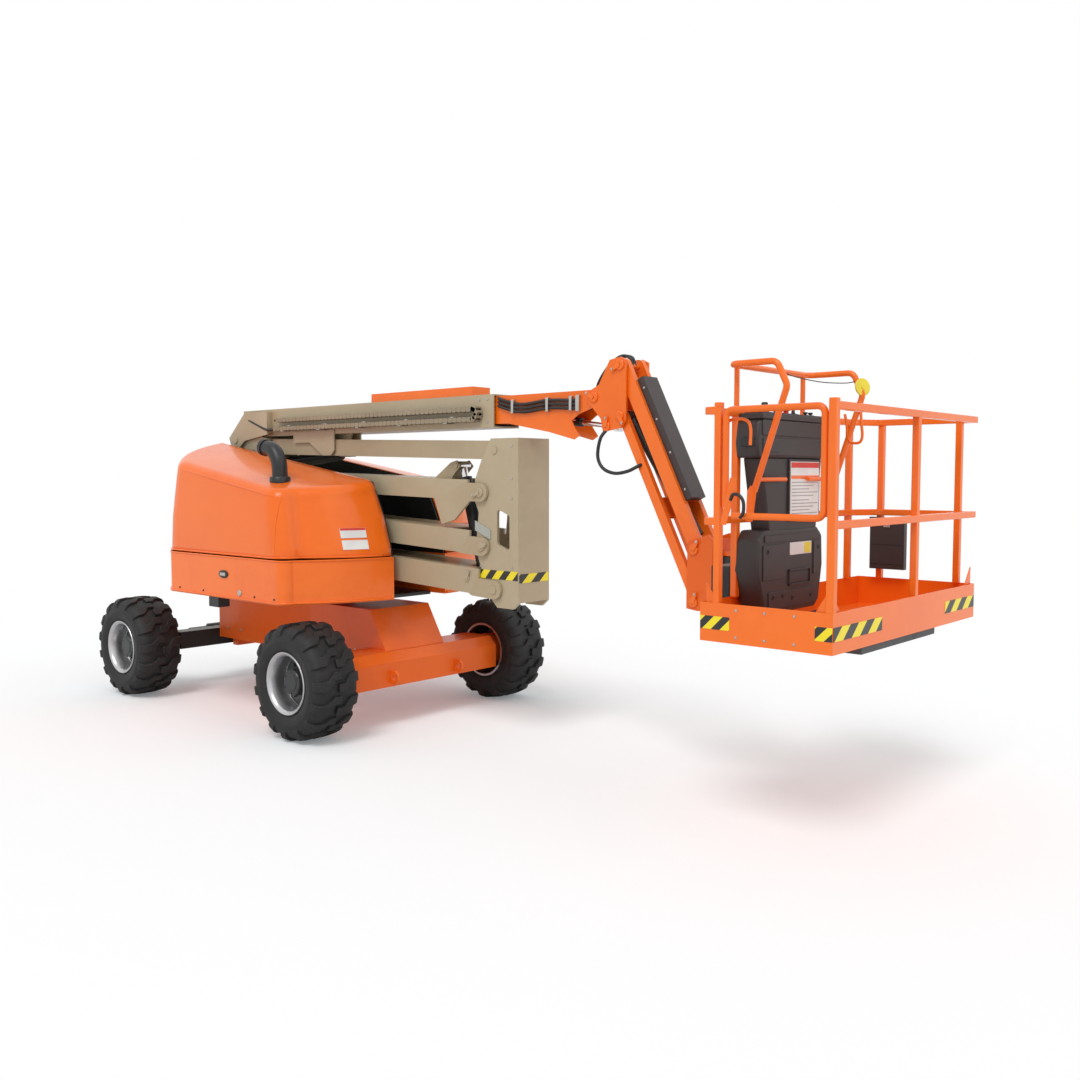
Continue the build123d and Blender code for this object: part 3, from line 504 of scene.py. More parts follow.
def addTreadBar(bm, centre, out, start, flip):
    axis = Vector((0, out, 0))
    side = 1 if flip else -1
    rings = []
    for u, r, turn in wheel["bar"]:
        mid = math.radians(start + turn * wheel["stepDeg"] * side)
        half = math.radians(wheel["barDeg"] / 2 * (0.82 if turn < 1 else 1.0))
        low = min(r - 0.022, 0.392) if u < 0.15 else r - 0.03
        lowU = u if u < 0.15 else u - 0.02
        ring = []
        for wide, radius, where in ((-1.2, low, lowU), (1.2, low, lowU), (1, r, u), (-1, r, u)):
            angle = mid + half * wide
            place = centre + axis * (where * side) + around(angle) * radius
            ring.append(bm.verts.new(place))
        rings.append(ring)
    joinRings(bm, rings)
    bm.faces.new(rings[0])
    bm.faces.new(list(reversed(rings[-1])))


def addWheel(name, x, hand):
    centre, out = at(x, hand * wheel["side"], wheel["radius"]), Vector((0, hand, 0))
    bm = bmesh.new()
    outer = wheel["tyre"]
    addLathe(bm, centre, (0, 1, 0), outer + [(-u, r) for u, r in reversed(outer)], 72)
    pitch = 360 / wheel["lugs"]
    for i in range(wheel["lugs"]):
        addTreadBar(bm, centre, 1, i * pitch, True)
        addTreadBar(bm, centre, 1, (i + 0.5) * pitch, False)
    settle("tyre" + name, bm, "wheel_" + name, tyreRubber, "tyre", 0.004, 30, ["tyre_" + name])
    bm = bmesh.new()
    addLathe(bm, centre, out, wheel["dish"], 64)
    addLathe(bm, centre, out, wheel["disc"], 48, 1)
    addLathe(bm, centre, out, wheel["back"], 48, 1)
    addLathe(bm, centre + out * wheel["disc"][-1][0], out, wheel["cap"], 32, 1)
    for count, first, along, circle, size, tall in wheel["bolts"]:
        for i in range(count):
            spot = centre + out * along + around(2 * math.pi * (i + first) / count) * circle
            addBolt(bm, spot, out, size, 1, tall)
    settle("rim" + name, bm, "wheel_" + name, (rimSilver, hubPaint), "rim", 0.0, 32, ["rim_" + name])


hubPaint = enamel("hubEnamel", (0.03, 0.03, 0.032), (0.045, 0.045, 0.047), 0.4, 0.2, 0.2)
for end, x in (("front_", wheel["axle"]), ("rear_", -wheel["axle"])):
    addWheel(end + "left", x, 1)
    addWheel(end + "right", x, -1)
print("wheels made")

# hoods: lofted shells with a rounded crown
hood = {
    "inset": 0.012,
    "inner": 0.28,
    "low": 1.275,
    "high": 2.120,
    "crown": 0.075,
    "wall": 0.005,
    "slope": 0.158,
    "cross": 0.13,
    "swell": 0.012,
    "bulge": 0.045,
    "bays": (  # height, then the reach of tail, side, front corner and nose
        (0.945, 1.170, 1.070, 1.060, 1.320),
        (1.330, 1.170, 1.068, 1.055, 1.320),
        (1.550, 1.160, 1.060, 1.000, 1.250),
        (1.860, 1.125, 1.030, 0.920, 1.095),
        (2.180, 1.080, 0.990, 0.830, 0.935),
    ),
}


def baySize(z):
    rows = hood["bays"]
    for a, b in zip(rows, rows[1:]):
        if z <= b[0]:
            t = max(0.0, (z - a[0]) / (b[0] - a[0]))
            return [p + (q - p) * t for p, q in zip(a[1:], b[1:])]
    return list(rows[-1][1:])


def arcThrough(a, m, b, count):
    a, m, b = Vector(a), Vector(m), Vector(b)
    ab, am = b - a, m - a
    d = 2 * (am.x * ab.y - am.y * ab.x)
    p, q = ab.length_squared, am.length_squared
    centre = a + Vector((ab.y * q - am.y * p, am.x * p - ab.x * q)) / d
    r = (a - centre).length
    first = math.atan2(a.y - centre.y, a.x - centre.x)
    last = math.atan2(b.y - centre.y, b.x - centre.x)
    middle = math.atan2(m.y - centre.y, m.x - centre.x)
    turn = (last - first) % (2 * math.pi)
    if (middle - first) % (2 * math.pi) > turn:
        turn -= 2 * math.pi
    angles = [first + turn * k / count for k in range(count + 1)]
    return [centre + Vector((math.cos(t), math.sin(t))) * r for t in angles]


def bayOutline(z, inset):
    inner = hood["inner"]
    tail, out, corner, nose = baySize(z)
    tail, out, corner, nose = tail - inset, out - inset, corner - inset, nose - inset
    half = (inner + out) / 2
    line = arcThrough(*[(-math.sqrt(tail * tail - y * y), y) for y in (inner, half, out)], 14)
    soft = 0.09 if z < 1.27 else 0.15
    start, stop = line[-1], Vector((corner - soft, out))
    line += [start.lerp(stop, k / 22) for k in range(1, 23)]
    line += arcThrough(stop, (corner - soft * 0.29, out - soft * 0.29), (corner, out - soft), 8)[1:]
    bulge = ((corner + nose) / 2 + hood["bulge"], (inner + out - 0.06) / 2)
    line += arcThrough(line[-1], bulge, (nose, inner), 16)[1:]
    return line


def roofHeight(x, y):
    return hood["high"] - hood["inset"] - hood["slope"] * (x + 0.6) - hood["cross"] * (y - 0.262)


def addHood(name, node, hand):
    bm = bmesh.new()
    inner, inset, crown = hood["inner"], hood["inset"], hood["crown"]
    base = bayOutline(hood["low"], inset)
    count = len(base)
    rows = []
    for k in range(15):
        t = k / 14
        row = []
        for i in range(count):
            z = hood["low"]
            for _ in range(4):
                p = bayOutline(z, inset)[i]
                top = roofHeight(p.x, p.y) - crown
                z = hood["low"] + (top - hood["low"]) * t
            row.append(Vector((p.x, p.y, z)))
        rows.append(row)
    edge = rows[-1]
    middle = Vector((-0.1, inner))
    for k in range(1, 8):
        phi = math.radians(90 * k / 7)
        row = []
        for i, p in enumerate(edge):
            here = edge[min(i + 1, count - 1)] - edge[max(i - 1, 0)]
            inward = Vector((here.y, -here.x)).normalized()
            if inward.dot(middle - p.to_2d()) < 0:
                inward = -inward
            shift = crown * (1 - math.cos(phi))
            x, y = p.x + inward.x * shift, max(inner, p.y + inward.y * shift)
            rise = roofHeight(x, y) - (roofHeight(p.x, p.y) - crown)
            row.append(Vector((x, y, p.z + rise - crown * (1 - math.sin(phi)))))
        rows.append(row)
    ring = rows[-1]
    for k in range(1, 9):
        t = k / 8
        row = []
        for i, p in enumerate(ring):
            goal = Vector((ring[0].x + (ring[-1].x - ring[0].x) * i / (count - 1), inner))
            spot = p.to_2d().lerp(goal, t)
            swell = hood["swell"] * math.sin(math.pi * t) * math.sin(math.pi * i / (count - 1))
            row.append(Vector((spot.x, spot.y, roofHeight(spot.x, spot.y) + swell)))
        rows.append(row)
    grid = [[bm.verts.new(at(p.x, hand * p.y, p.z)) for p in row] for row in rows]
    for a, b in zip(grid, grid[1:]):
        for i in range(count - 1):
            bm.faces.new((a[i], a[i + 1], b[i + 1], b[i])).smooth = True
    bmesh.ops.remove_doubles(bm, verts=bm.verts, dist=0.0004)
    bmesh.ops.recalc_face_normals(bm, faces=bm.faces)
    up = sum((f.normal.z for f in bm.faces))
    if up < 0:
        bmesh.ops.reverse_faces(bm, faces=bm.faces)
    piece = addPiece(name, bm, (orange,))
    skin = piece.modifiers.new("sheet", "SOLIDIFY")
    skin.thickness = hood["wall"]
    skin.offset = -1
    piece.data.shade_smooth()
    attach(piece, node)
    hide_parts(node)
    return piece


shells = {1: addHood("hoodShellLeft", "hood_left", 1), -1: addHood("hoodShellRight", "hood_right", -1)}
print("hoods made")


# pieces on the faces of the frame
def faceAt(node, x, z, side):
    start = at(x, side * 2.0, z)
    hit, place, _, _ = frame["nodes"][node].ray_cast(start, Vector((0, -side, 0)))
    return place.y if hit else None


def addPlate(bm, outline, origin, thick, slot=0):  # a slab that stands along the machine
    addSlab(bm, outline, origin, (1, 0, 0), (0, 0, 1), thick, slot)


def addBoxes(name, body, materials, slotName, rows, bevel=0.003):
    bm = bmesh.new()
    for row in rows:
        addBox(bm, at(*row[0]), at(*row[1]), row[2] if len(row) > 2 else 0)
    return settle(name, bm, body, materials, slotName, bevel)


def addTubes(name, body, material, slotName, rows, radius, steps=12, smooth=8):
    bm = bmesh.new()
    for row in rows:
        addTube(bm, smoothLine([at(*p) for p in row], smooth), radius, steps)
    return settle(name, bm, body, material, slotName, 0.0, 40)


hazardSide = hazard("hazardSide", (0.7, 0.0, -0.72), 0.036)
hazardFront = hazard("hazardFront", (0.0, 0.62, -0.72), 0.056)
hazardTower = hazard("hazardTower", (0.7, 0.0, -0.6), 0.046)
plateWhite = moulded("plateWhite", (0.72, 0.72, 0.70), 0.4, 300)
plateRed = moulded("plateRed", (0.62, 0.03, 0.02), 0.4, 300)
plateGrey = moulded("plateGrey", (0.33, 0.33, 0.33), 0.45, 300)
wedgeGrey = enamel("wedgeEnamel", (0.42, 0.44, 0.38), (0.38, 0.4, 0.35), 0.45, 0.1, 0.1)

# pins of the tower, boom and jib: body, node that carries the face, x, z, radius, turn of the keeper
pinSpots = {
    "UprightTop": ("upright", "upper_link", 2.275, 2.055, 0.034, 70),
    "UprightMiddle": ("upright", "upper_arm", 2.155, 1.759, 0.034, 200),
    "UprightLow": ("upright", "tower_upright", 2.287, 1.081, 0.034, 110),
    "UprightLink": ("upright", "lower_link", 2.169, 1.378, 0.032, 20),
    "TowerFoot": ("lower_arm", "lower_arm", 2.028, 1.150, 0.026, 60),
    "LowerHeel": ("turntable", "tower_pedestal", -0.75, 1.229, 0.036, 130),
    "LinkHeel": ("turntable", "tower_pedestal", -0.868, 1.526, 0.036, 80),
    "PostLow": ("post", "boom_post", -0.62, 1.832, 0.034, 240),
    "KnuckleFly": ("boom_knuckle", "boom_knuckle", 3.129, 2.379, 0.034, 150),
    "KnuckleLevel": ("boom_knuckle", "boom_knuckle", 3.232, 2.189, 0.030, 85),
    "JibTop": ("boom_knuckle", "boom_knuckle", 3.338, 2.572, 0.034, 205),
    "JibLow": ("boom_knuckle", "boom_knuckle", 3.338, 2.254, 0.030, 300),
    "BracketTop": ("platform_support", "platform_bracket", 3.898, 1.437, 0.032, 60),
    "BracketLow": ("platform_support", "platform_bracket", 3.898, 1.119, 0.030, 70),
}
pin = {
    "head": 0.012,
    "keeperHalf": 0.013,
    "keeperReach": 0.026,
    "keeperOut": 0.0145,
    "keeperThick": 0.005,
    "bolt": 0.007,
    "inTan": ("upright", "lower_arm", "turntable", "post"),
}


def pinFace(node, x, z, radius, side):
    for dx, dz in ((0.9, 0), (0, 0.9), (0, 0)):
        face = faceAt(node, x + dx * radius, z + dz * radius, side)
        if face is not None:
            return face


def addPins():
    half, tall = pin["keeperHalf"], pin["head"]
    for name, (body, node, x, z, radius, turn) in pinSpots.items():
        bm = bmesh.new()
        head = [(-0.002, radius), (0.009, radius), (tall, radius - 0.004), (tall, 0.008), (0.008, 0.005), (0.008, 0)]
        end = radius + pin["keeperReach"]
        keeper = [(-0.004, -half), (end, -half), (end + 0.012, 0), (end, half), (-0.004, half)]
        along = around(math.radians(turn))
        across = Vector((-along.z, 0, along.x))
        for side in (1, -1):
            face = pinFace(node, x, z, radius, side)
            if face is None:
                continue
            centre = Vector((slewX + x, face, z))
            addLathe(bm, centre, (0, side, 0), head, 32)
            addSlab(bm, keeper, centre + Vector((0, side * pin["keeperOut"], 0)), along, across, pin["keeperThick"])
            addBolt(bm, centre + along * (radius + 0.024) + Vector((0, side * 0.017, 0)), (0, side, 0), pin["bolt"], 1)
        painted = tan if body in pin["inTan"] else orange
        settle("pins" + name, bm, body, (painted, zincSteel), "tan" if painted == tan else "orange")


addPins()

# striped bands round the toe boards and on the upright, and the upright's pale wedge
stripe = {
    "gap": 0.0012,
    "thick": 0.0016,
    "toeLow": 1.105,
    "toeHigh": 1.172,
    "toeSides": ((4.452, 4.622), (5.087, 5.1755)),
    "toeEnds": ((-0.895, -0.36), (0.48, 0.925)),
    "towerSide": ((2.12, 1.155), (2.495, 1.217)),
    "towerFront": ((-0.15, 1.138), (0.15, 1.2)),
    "skin": (0.0004, 0.0022),
    "wedge": [(2.09, 1.56), (2.24, 1.497), (2.24, 1.43), (2.09, 1.49)],
}


def addStripes():
    low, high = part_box("toe_boards")
    z0, z1, t, gap = stripe["toeLow"], stripe["toeHigh"], stripe["thick"] / 2, stripe["gap"]
    bm = bmesh.new()
    for y in (low[1] - gap, high[1] + gap):
        for x0, x1 in stripe["toeSides"]:
            addBox(bm, at(x0, y - t, z0), at(x1, y + t, z1))
    for y0, y1 in stripe["toeEnds"]:
        for x in (high[0] + gap, low[0] - gap):
            addBox(bm, (x - t, y0, z0), (x + t, y1, z1), 1)
    settle("stripesPlatform", bm, "platform", (hazardSide, hazardFront), "black")
    bm = bmesh.new()
    (x0, z0), (x1, z1) = stripe["towerSide"]
    near, far = stripe["skin"]
    for side in (-1, 1):
        face = faceAt("tower_upright", 2.32, 1.19, side)
        addBox(bm, at(x0, face + side * near, z0), at(x1, face + side * far, z1))
    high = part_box("tower_upright")[1]
    (y0, z0), (y1, z1) = stripe["towerFront"]
    addBox(bm, (high[0] + near, y0, z0), (high[0] + far, y1, z1), 1)
    settle("stripesUpright", bm, "upright", (hazardTower, hazardFront), "black")
    bm = bmesh.new()
    addPlate(bm, stripe["wedge"], (slewX, faceAt("tower_upright", 2.2, 1.5, -1) - 0.005, 0), 0.009)
    settle("wedgeUpright", bm, "upright", wedgeGrey, "tan", 0.002)


addStripes()
print("pins and stripes made")

# trim of the hoods and tubs: beads are height, inset, radius and the points left off at each end
trim = {
    "tubBeads": ((0.958, -0.001, 0.010, 0), (1.262, 0.001, 0.007, 0)),
    "hoodBeads": ((1.284, 0.010, 0.008, 2),),
    "creaseRadius": 0.006,
    "creaseFrom": -0.36,
    "creaseRun": 1.27,
    "creaseHigh": 1.888,
    "cornerFrom": (0.91, 1.722),
    "cornerRun": (0.02, 0.42),
    "stop": ((0.04, 0.95, 0.862), (0.18, 1.05, 0.944)),
    "latch": (0.293, 1.13),
    "latchSize": (0.062, 0.030),
    "catch": [(-0.036, -0.012), (0.036, -0.012), (0.036, 0.012), (-0.036, 0.012)],
    "lock": (0.507, 1.0),
    "lockTurned": [(0, 0.024), (0.006, 0.024), (0.010, 0.018), (0.010, 0.008), (0.006, 0.006), (0.006, 0)],
    "plateHeights": ((1.418, 1.49), (1.334, 1.402)),
    "plateSides": (0.652, 0.465),
}


def onBay(x, z, inset):
    near = bayOutline(z, inset)[14:]
    for a, b in zip(near, near[1:]):
        if a.x <= x <= b.x:
            return a.y + (b.y - a.y) * (x - a.x) / max(1e-6, b.x - a.x)
    return near[0].y


def addBeads(name, body, hand, rows):
    bm = bmesh.new()
    for z, inset, radius, less in rows:
        line = bayOutline(z, inset)
        addTube(bm, [at(p.x, hand * p.y, z) for p in line[less : len(line) - less]], radius, 10)
    settle(name, bm, body, orange, "orange", 0.0, 60)


def addCrease(name, body, hand):  # along the side under the crown, then down the front corner
    side = [trim["creaseFrom"] + trim["creaseRun"] * k / 24 for k in range(25)]
    spots = [(x, trim["creaseHigh"] - hood["slope"] * (x + 0.12) - 0.003) for x in side]
    (x, z), (dx, dz) = trim["cornerFrom"], trim["cornerRun"]
    spots += [(x + dx * k / 8, z - dz * k / 8) for k in range(1, 9)]
    bm = bmesh.new()
    line = [at(x, hand * (onBay(x, z, hood["inset"]) - 0.001), z) for x, z in spots]
    addTube(bm, line, trim["creaseRadius"], 10)
    settle(name, bm, body, orange, "orange", 0.0, 60)


def addLatch(name, hand):
    x, z = trim["latch"]
    wide, tall = trim["latchSize"]
    face = faceAt("side_tubs", x, z, hand)
    oval = []
    for k in range(28):
        a = 2 * math.pi * k / 28
        oval.append((wide * math.cos(a) * (1 if abs(math.cos(a)) > 0.5 else 1.1), tall * math.sin(a)))
    bm = bmesh.new()
    addPlate(bm, oval, at(x, face + hand * 0.003, z), 0.008)
    addPlate(bm, trim["catch"], at(x, face + hand * 0.010, z), 0.008, 1)
    addLathe(bm, at(trim["lock"][0], face, trim["lock"][1]), (0, hand, 0), trim["lockTurned"], 28, 1)
    settle(name, bm, "turntable", (blackPlastic, zincSteel), "black", 0.0018)


def addHoodPlates(name, body, hand):
    outer, inner = trim["plateSides"]
    bm = bmesh.new()
    for low, top in trim["plateHeights"]:
        spots = []
        for y, z in ((outer, low), (inner, low), (outer, top)):
            _, place, _, _ = shells[hand].ray_cast(at(2.2, hand * y, z), Vector((-1, 0, 0)))
            spots.append(place)
        u, v = spots[1] - spots[0], spots[2] - spots[0]
        out = u.cross(v).normalized()
        out = out if out.x > 0 else -out
        addSlab(bm, [(0, 0), (1, 0), (1, 1), (0, 1)], spots[0] + out * 0.0045, u, v, 0.005)
        if low == trim["plateHeights"][0][0]:
            header = [(0.01, 0.76), (0.99, 0.76), (0.99, 0.99), (0.01, 0.99)]
            addSlab(bm, header, spots[0] + out * 0.0065, u, v, 0.003, 1)
    settle(name, bm, body, (plateWhite, plateRed), "black")


for hand, side in ((1, "left"), (-1, "right")):
    addBeads("tubBeads" + side, "turntable", hand, trim["tubBeads"])
    addBeads("hoodBead" + side, "hood_" + side, hand, trim["hoodBeads"])
    addCrease("hoodCrease" + side, "hood_" + side, hand)
    addLatch("latch" + side, hand)
    block = [(x, hand * y, z) for x, y, z in trim["stop"]]
    addBoxes("stopBlock" + side, "turntable", blackPlastic, "black", [block], 0.006)
    addHoodPlates("hoodPlates" + side, "hood_" + side, hand)

# air intake pipe on the right hood
elbow = {
    "y": -0.825,
    "bend": ((0.688, 1.79), (0.688, 1.90), (0.672, 1.99), (0.61, 2.065), (0.50, 2.09)),
    "radius": 0.058,
    "collar": [(-0.03, 0.06), (-0.03, 0.078), (0.012, 0.076), (0.018, 0.07), (0.018, 0.05)],
    "collarAt": (0.688, 1.852),
    "mouth": [(0, 0.058), (0, 0.065), (0.03, 0.066), (0.034, 0.062), (0.034, 0.052), (0.0205, 0.05), (0.0205, 0)],
}


def addElbow():
    bm = bmesh.new()
    line = smoothLine([at(x, elbow["y"], z) for x, z in elbow["bend"]], 7)
    addTube(bm, line, elbow["radius"], 28)
    addLathe(bm, at(elbow["collarAt"][0], elbow["y"], elbow["collarAt"][1]), (0, 0, 1), elbow["collar"], 32)
    back = (line[-1] - line[-2]).normalized()
    addLathe(bm, line[-1] - back * 0.02, back, elbow["mouth"], 28)
    settle("intakeElbow", bm, "hood_right", blackPlastic, "plastic", 0.0, 45)


addElbow()
print("hood details made")

# hose chain beside the boom
chain = {
    "from": -0.29,
    "turn": 2.085,
    "low": 2.272,
    "high": 2.343,
    "pitch": 0.048,
    "wide": 0.064,
    "link": [
        (-0.025, -0.010), (-0.018, -0.017), (0.014, -0.017), (0.021, -0.010),
        (0.021, 0.010), (0.014, 0.017), (-0.018, 0.017), (-0.025, 0.010),
    ],
    "bridge": [(-0.009, -0.003), (0.009, -0.003), (0.009, 0.003), (-0.009, 0.003)],
    "cables": ((0.0, -0.016), (0.003, 0.002), (-0.003, 0.017)),
    "cableRadius": 0.0085,
    "brackets": (-0.2, 0.3, 0.8, 1.3, 1.8),
    "boomFace": -0.129,
}


def chainStops():  # x, z and direction of each link
    low, high, turn, pitch = chain["low"], chain["high"], chain["turn"], chain["pitch"]
    middle, radius = (low + high) / 2, (high - low) / 2
    stops = []
    x = chain["from"]
    while x < turn - 0.02:
        stops.append((x, low, 1, 0))
        x += pitch
    for k in range(4):
        a = math.radians(-90 + 180 * (k + 0.5) / 4)
        stops.append((turn + radius * math.cos(a), middle + radius * math.sin(a), -math.sin(a), math.cos(a)))
    while x > chain["from"] + 0.02:
        stops.append((x - 0.01, high, -1, 0))
        x -= pitch
    return stops


def addChain():
    low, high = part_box("hose_carrier")
    y = (low[1] + high[1]) / 2
    bottom, wide, face = chain["low"], chain["wide"], chain["boomFace"]
    bm = bmesh.new()
    for px, pz, ux, uz in chainStops():
        u, v = Vector((ux, 0, uz)), Vector((-uz, 0, ux))
        for side in (-1, 1):
            addSlab(bm, chain["link"], (slewX + px, y + side * (wide / 2 - 0.004), pz), u, v, 0.007)
        for top in (-1, 1):
            place = Vector((slewX + px, y, pz)) + v * (0.0145 * top)
            addSlab(bm, chain["bridge"], place, u, v, wide - 0.008)
    for dz, dy in chain["cables"]:
        for z in (bottom + dz, chain["high"] + dz):
            run = [at(x, y + dy, z) for x in (chain["from"] - 0.02, chain["turn"] - 0.03)]
            addTube(bm, run, chain["cableRadius"], 10, 1)
    for x in chain["brackets"]:
        addBox(bm, at(x, y - 0.036, bottom - 0.0235), at(x + 0.04, face, bottom - 0.0185), 2)
        addBox(bm, at(x, face - 0.0045, bottom - 0.0235), at(x + 0.04, face, bottom + 0.03), 2)
    settle("hoseChain", bm, "boom", (carrierNylon, hoseRubber, zincSteel), "plastic", 0.0, 35, ["hose_carrier"])


addChain()

# hoses held in clamps: x, y, z, with the steps in y and z from one hose to the next
hose = {
    "radius": 0.0105,
    "underRadius": 0.011,
    "heel": (
        (-0.30, -0.150, 2.272, -0.0184, 0), (-0.42, -0.150, 2.268, -0.018, 0), (-0.56, -0.146, 2.29, -0.018, 0.01),
        (-0.70, -0.146, 2.325, -0.016, 0.016), (-0.80, -0.142, 2.33, 0, 0.018),
    ),
    "fly": (
        (2.262, -0.106, 2.415), (2.34, -0.113, 2.392), (2.50, -0.113, 2.362), (2.726, -0.112, 2.379),
        (2.93, -0.112, 2.370), (2.965, -0.110, 2.372), (2.992, -0.104, 2.374),
    ),
    "flyStep": -0.026,
    "clamps": (2.40, 2.716, 2.92),
    "overFrom": (3.06, 0, 2.43),
    "overTo": (3.26, 0, 2.6),
    "underFrom": (3.22, 0, 2.0),
    "underTo": (3.42, 0, 1.95),
    "over": ((3.05, 2.41), (3.09, 2.50), (3.17, 2.59), (3.255, 2.638), (3.325, 2.628), (3.352, 2.575)),
    "under": (
        (3.228, -0.114, 2.172), (3.207, -0.155, 2.11), (3.196, -0.166, 2.0), (3.24, -0.168, 1.925),
        (3.33, -0.166, 1.893), (3.42, -0.150, 1.905), (3.475, -0.12, 1.935), (3.492, -0.07, 1.955),
    ),
}


def addHoses():
    r, step = hose["radius"], hose["flyStep"]
    heel = [[(x, y + k * dy, z + k * dz) for x, y, z, dy, dz in hose["heel"]] for k in range(3)]
    addTubes("hosesHeel", "boom", hoseRubber, "plastic", heel, r)
    onFly = [[(x, y, z + k * step) for x, y, z in hose["fly"]] for k in range(3)]
    addTubes("hosesFly", "fly", hoseRubber, "plastic", onFly, r)
    clamps = [((x, -0.128, 2.302), (x + 0.022, -0.098, 2.398)) for x in hose["clamps"]]
    addBoxes("clampsFly", "fly", zincSteel, "steel", clamps + [((2.972, -0.124, 2.296), (3.002, -0.098, 2.402))])
    for k, letter in enumerate("ab"):
        over = [[(x, 0.02 - 0.03 * k, z) for x, z in hose["over"]]]
        upper = addTubes("hoseOver" + letter, None, hoseRubber, "plastic", over, r)
        tuple(at(*hose["overFrom"]))
        tuple(at(*hose["overTo"]))
        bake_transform(upper)
    under = addTubes("hoseUnder", None, hoseRubber, "plastic", [hose["under"]], hose["underRadius"])
    start, end = tuple(at(*hose["underFrom"])), tuple(at(*hose["underTo"]))
    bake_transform(under)


addHoses()
print("hoses made")

# platform rails and posts of square tube
rail = {
    "half": 0.019,
    "postHalf": 0.0182,
    "foot": 1.238,
    "rearLeft": ((0, 0.70), (0.012, 0.745)),
    "frontMiddle": 0.078,
    "rearPosts": (0.73, 0.23, -0.60),
    "leftPosts": (5.078, 4.60),
    "gatePost": 4.54,
}


def addSquareRun(bm, points, half):
    rings = []
    for i, p in enumerate(points):
        before = (p - points[i - 1]).normalized() if i else (points[1] - p).normalized()
        after = (points[i + 1] - p).normalized() if i < len(points) - 1 else before
        side = Vector((before.y + after.y, -before.x - after.x, 0)).normalized()
        reach = side * (half / max(0.5, side.dot(Vector((before.y, -before.x, 0)))))
        up = Vector((0, 0, half))
        rings.append([bm.verts.new(p + a * reach + b * up) for a, b in ((1, 1), (1, -1), (-1, -1), (-1, 1))])
    joinRings(bm, rings)
    bm.faces.new(rings[0])
    bm.faces.new(list(reversed(rings[-1])))


def addRails():
    low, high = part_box("top_rail")
    h, p = rail["half"], rail["postHalf"]
    rear, front, right, left = low[0] + h, high[0] - h, low[1] + h, high[1] - h
    run = [(rear + 0.071, right), (rear + 0.03, right), (rear + 0.006, right + 0.01), (rear, right + 0.04)]
    run += [(rear + x, y) for x, y in rail["rearLeft"]]
    run += [(rear + 0.10, left - 0.02), (rear + 0.15, left), (front, left), (front, right)]
    for name, node in (("topRail", "top_rail"), ("midRail", "mid_rail")):
        z = (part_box(node)[0][2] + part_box(node)[1][2]) / 2
        bm = bmesh.new()
        addSquareRun(bm, [Vector((x, y, z)) for x, y in run], h)
        settle(name, bm, "platform", orange, "orange", 0.004, 35, [node])
    top = high[2] - 0.004
    gate = slewX + rail["gatePost"]
    spots = [(front, rail["frontMiddle"])] + [(slewX + x, left) for x in rail["leftPosts"]]
    spots += [(rear, y) for y in rail["rearPosts"]] + [(gate, right)]
    bm = bmesh.new()
    for x, y in spots:
        addBox(bm, (x - p, y - p, rail["foot"]), (x + p, y + p, top))
    addBox(bm, (gate - p, right - p, top), (gate + p, right + p, high[2] + 0.02))
    settle("posts", bm, "platform", orange, "orange", 0.003, 35, ["platform_posts"])


addRails()

# platform iron: gussets, hinge and guard plates, loops, hook, disc on its wire, foot hoop, channel
iron = {
    "post": 0.020,
    "gussets": ([(5.082, 1.238), (5.150, 1.238), (5.150, 1.345)], [(4.478, 1.238), (4.552, 1.238), (4.478, 1.338)]),
    "gussetSide": 0.085,
    "hingePlate": [(4.565, 1.635), (4.600, 1.635), (4.648, 1.80), (4.655, 1.87), (4.62, 1.87)],
    "guardPlate": [(4.585, 1.645), (4.625, 1.645), (4.645, 1.80), (4.612, 1.83), (4.592, 1.80)],
    "guardAt": (-0.67, 0.19),
    "gateLoop": (
        (4.55, 0.03, 2.03), (4.55, 0.032, 2.11), (4.572, 0.033, 2.15), (4.625, 0.034, 2.162),
        (4.68, 0.033, 2.15), (4.70, 0.032, 2.11), (4.70, 0.03, 2.03),
    ),
    "guardLoop": (
        (4.70, 2.225), (4.712, 2.17), (4.72, 2.10), (4.742, 2.065),
        (4.79, 2.065), (4.806, 2.10), (4.80, 2.17), (4.79, 2.3),
    ),
    "hook": (
        (4.625, -0.026, 1.76), (4.645, -0.034, 1.787), (4.682, -0.036, 1.782),
        (4.704, -0.036, 1.75), (4.704, -0.036, 1.70), (4.685, -0.034, 1.672),
    ),
    "disc": [
        (-0.004, 0), (-0.004, 0.046), (0.0, 0.050), (0.006, 0.050),
        (0.009, 0.046), (0.009, 0.014), (0.013, 0.012), (0.013, 0),
    ],
    "wire": (
        (4.755, 0.19, 2.405), (4.752, 0.05, 2.388), (4.75, -0.23, 2.377), (4.748, -0.52, 2.388), (4.748, -0.67, 2.412),
    ),
    "footHoop": (
        (4.892, 1.072), (4.892, 1.16), (4.905, 1.19), (4.965, 1.202), (5.028, 1.19), (5.040, 1.16), (5.040, 1.072),
    ),
    "channel": (
        ((5.075, -0.567, 1.003), (5.168, 0.36, 1.041)),
        ((4.92, -0.50, 1.006), (5.075, -0.43, 1.041)),
        ((4.92, 0.22, 1.006), (5.075, 0.29, 1.041)),
    ),
    "toolBox": (
        ((4.335, -0.62, 1.13), (4.4485, -0.42, 1.40)),
        ((4.37, -0.64, 1.20), (4.39, -0.62, 1.22), 1),
        ((4.37, -0.64, 1.33), (4.39, -0.62, 1.35), 1),
        ((4.37, -0.648, 1.20), (4.39, -0.638, 1.35), 1),
    ),
}


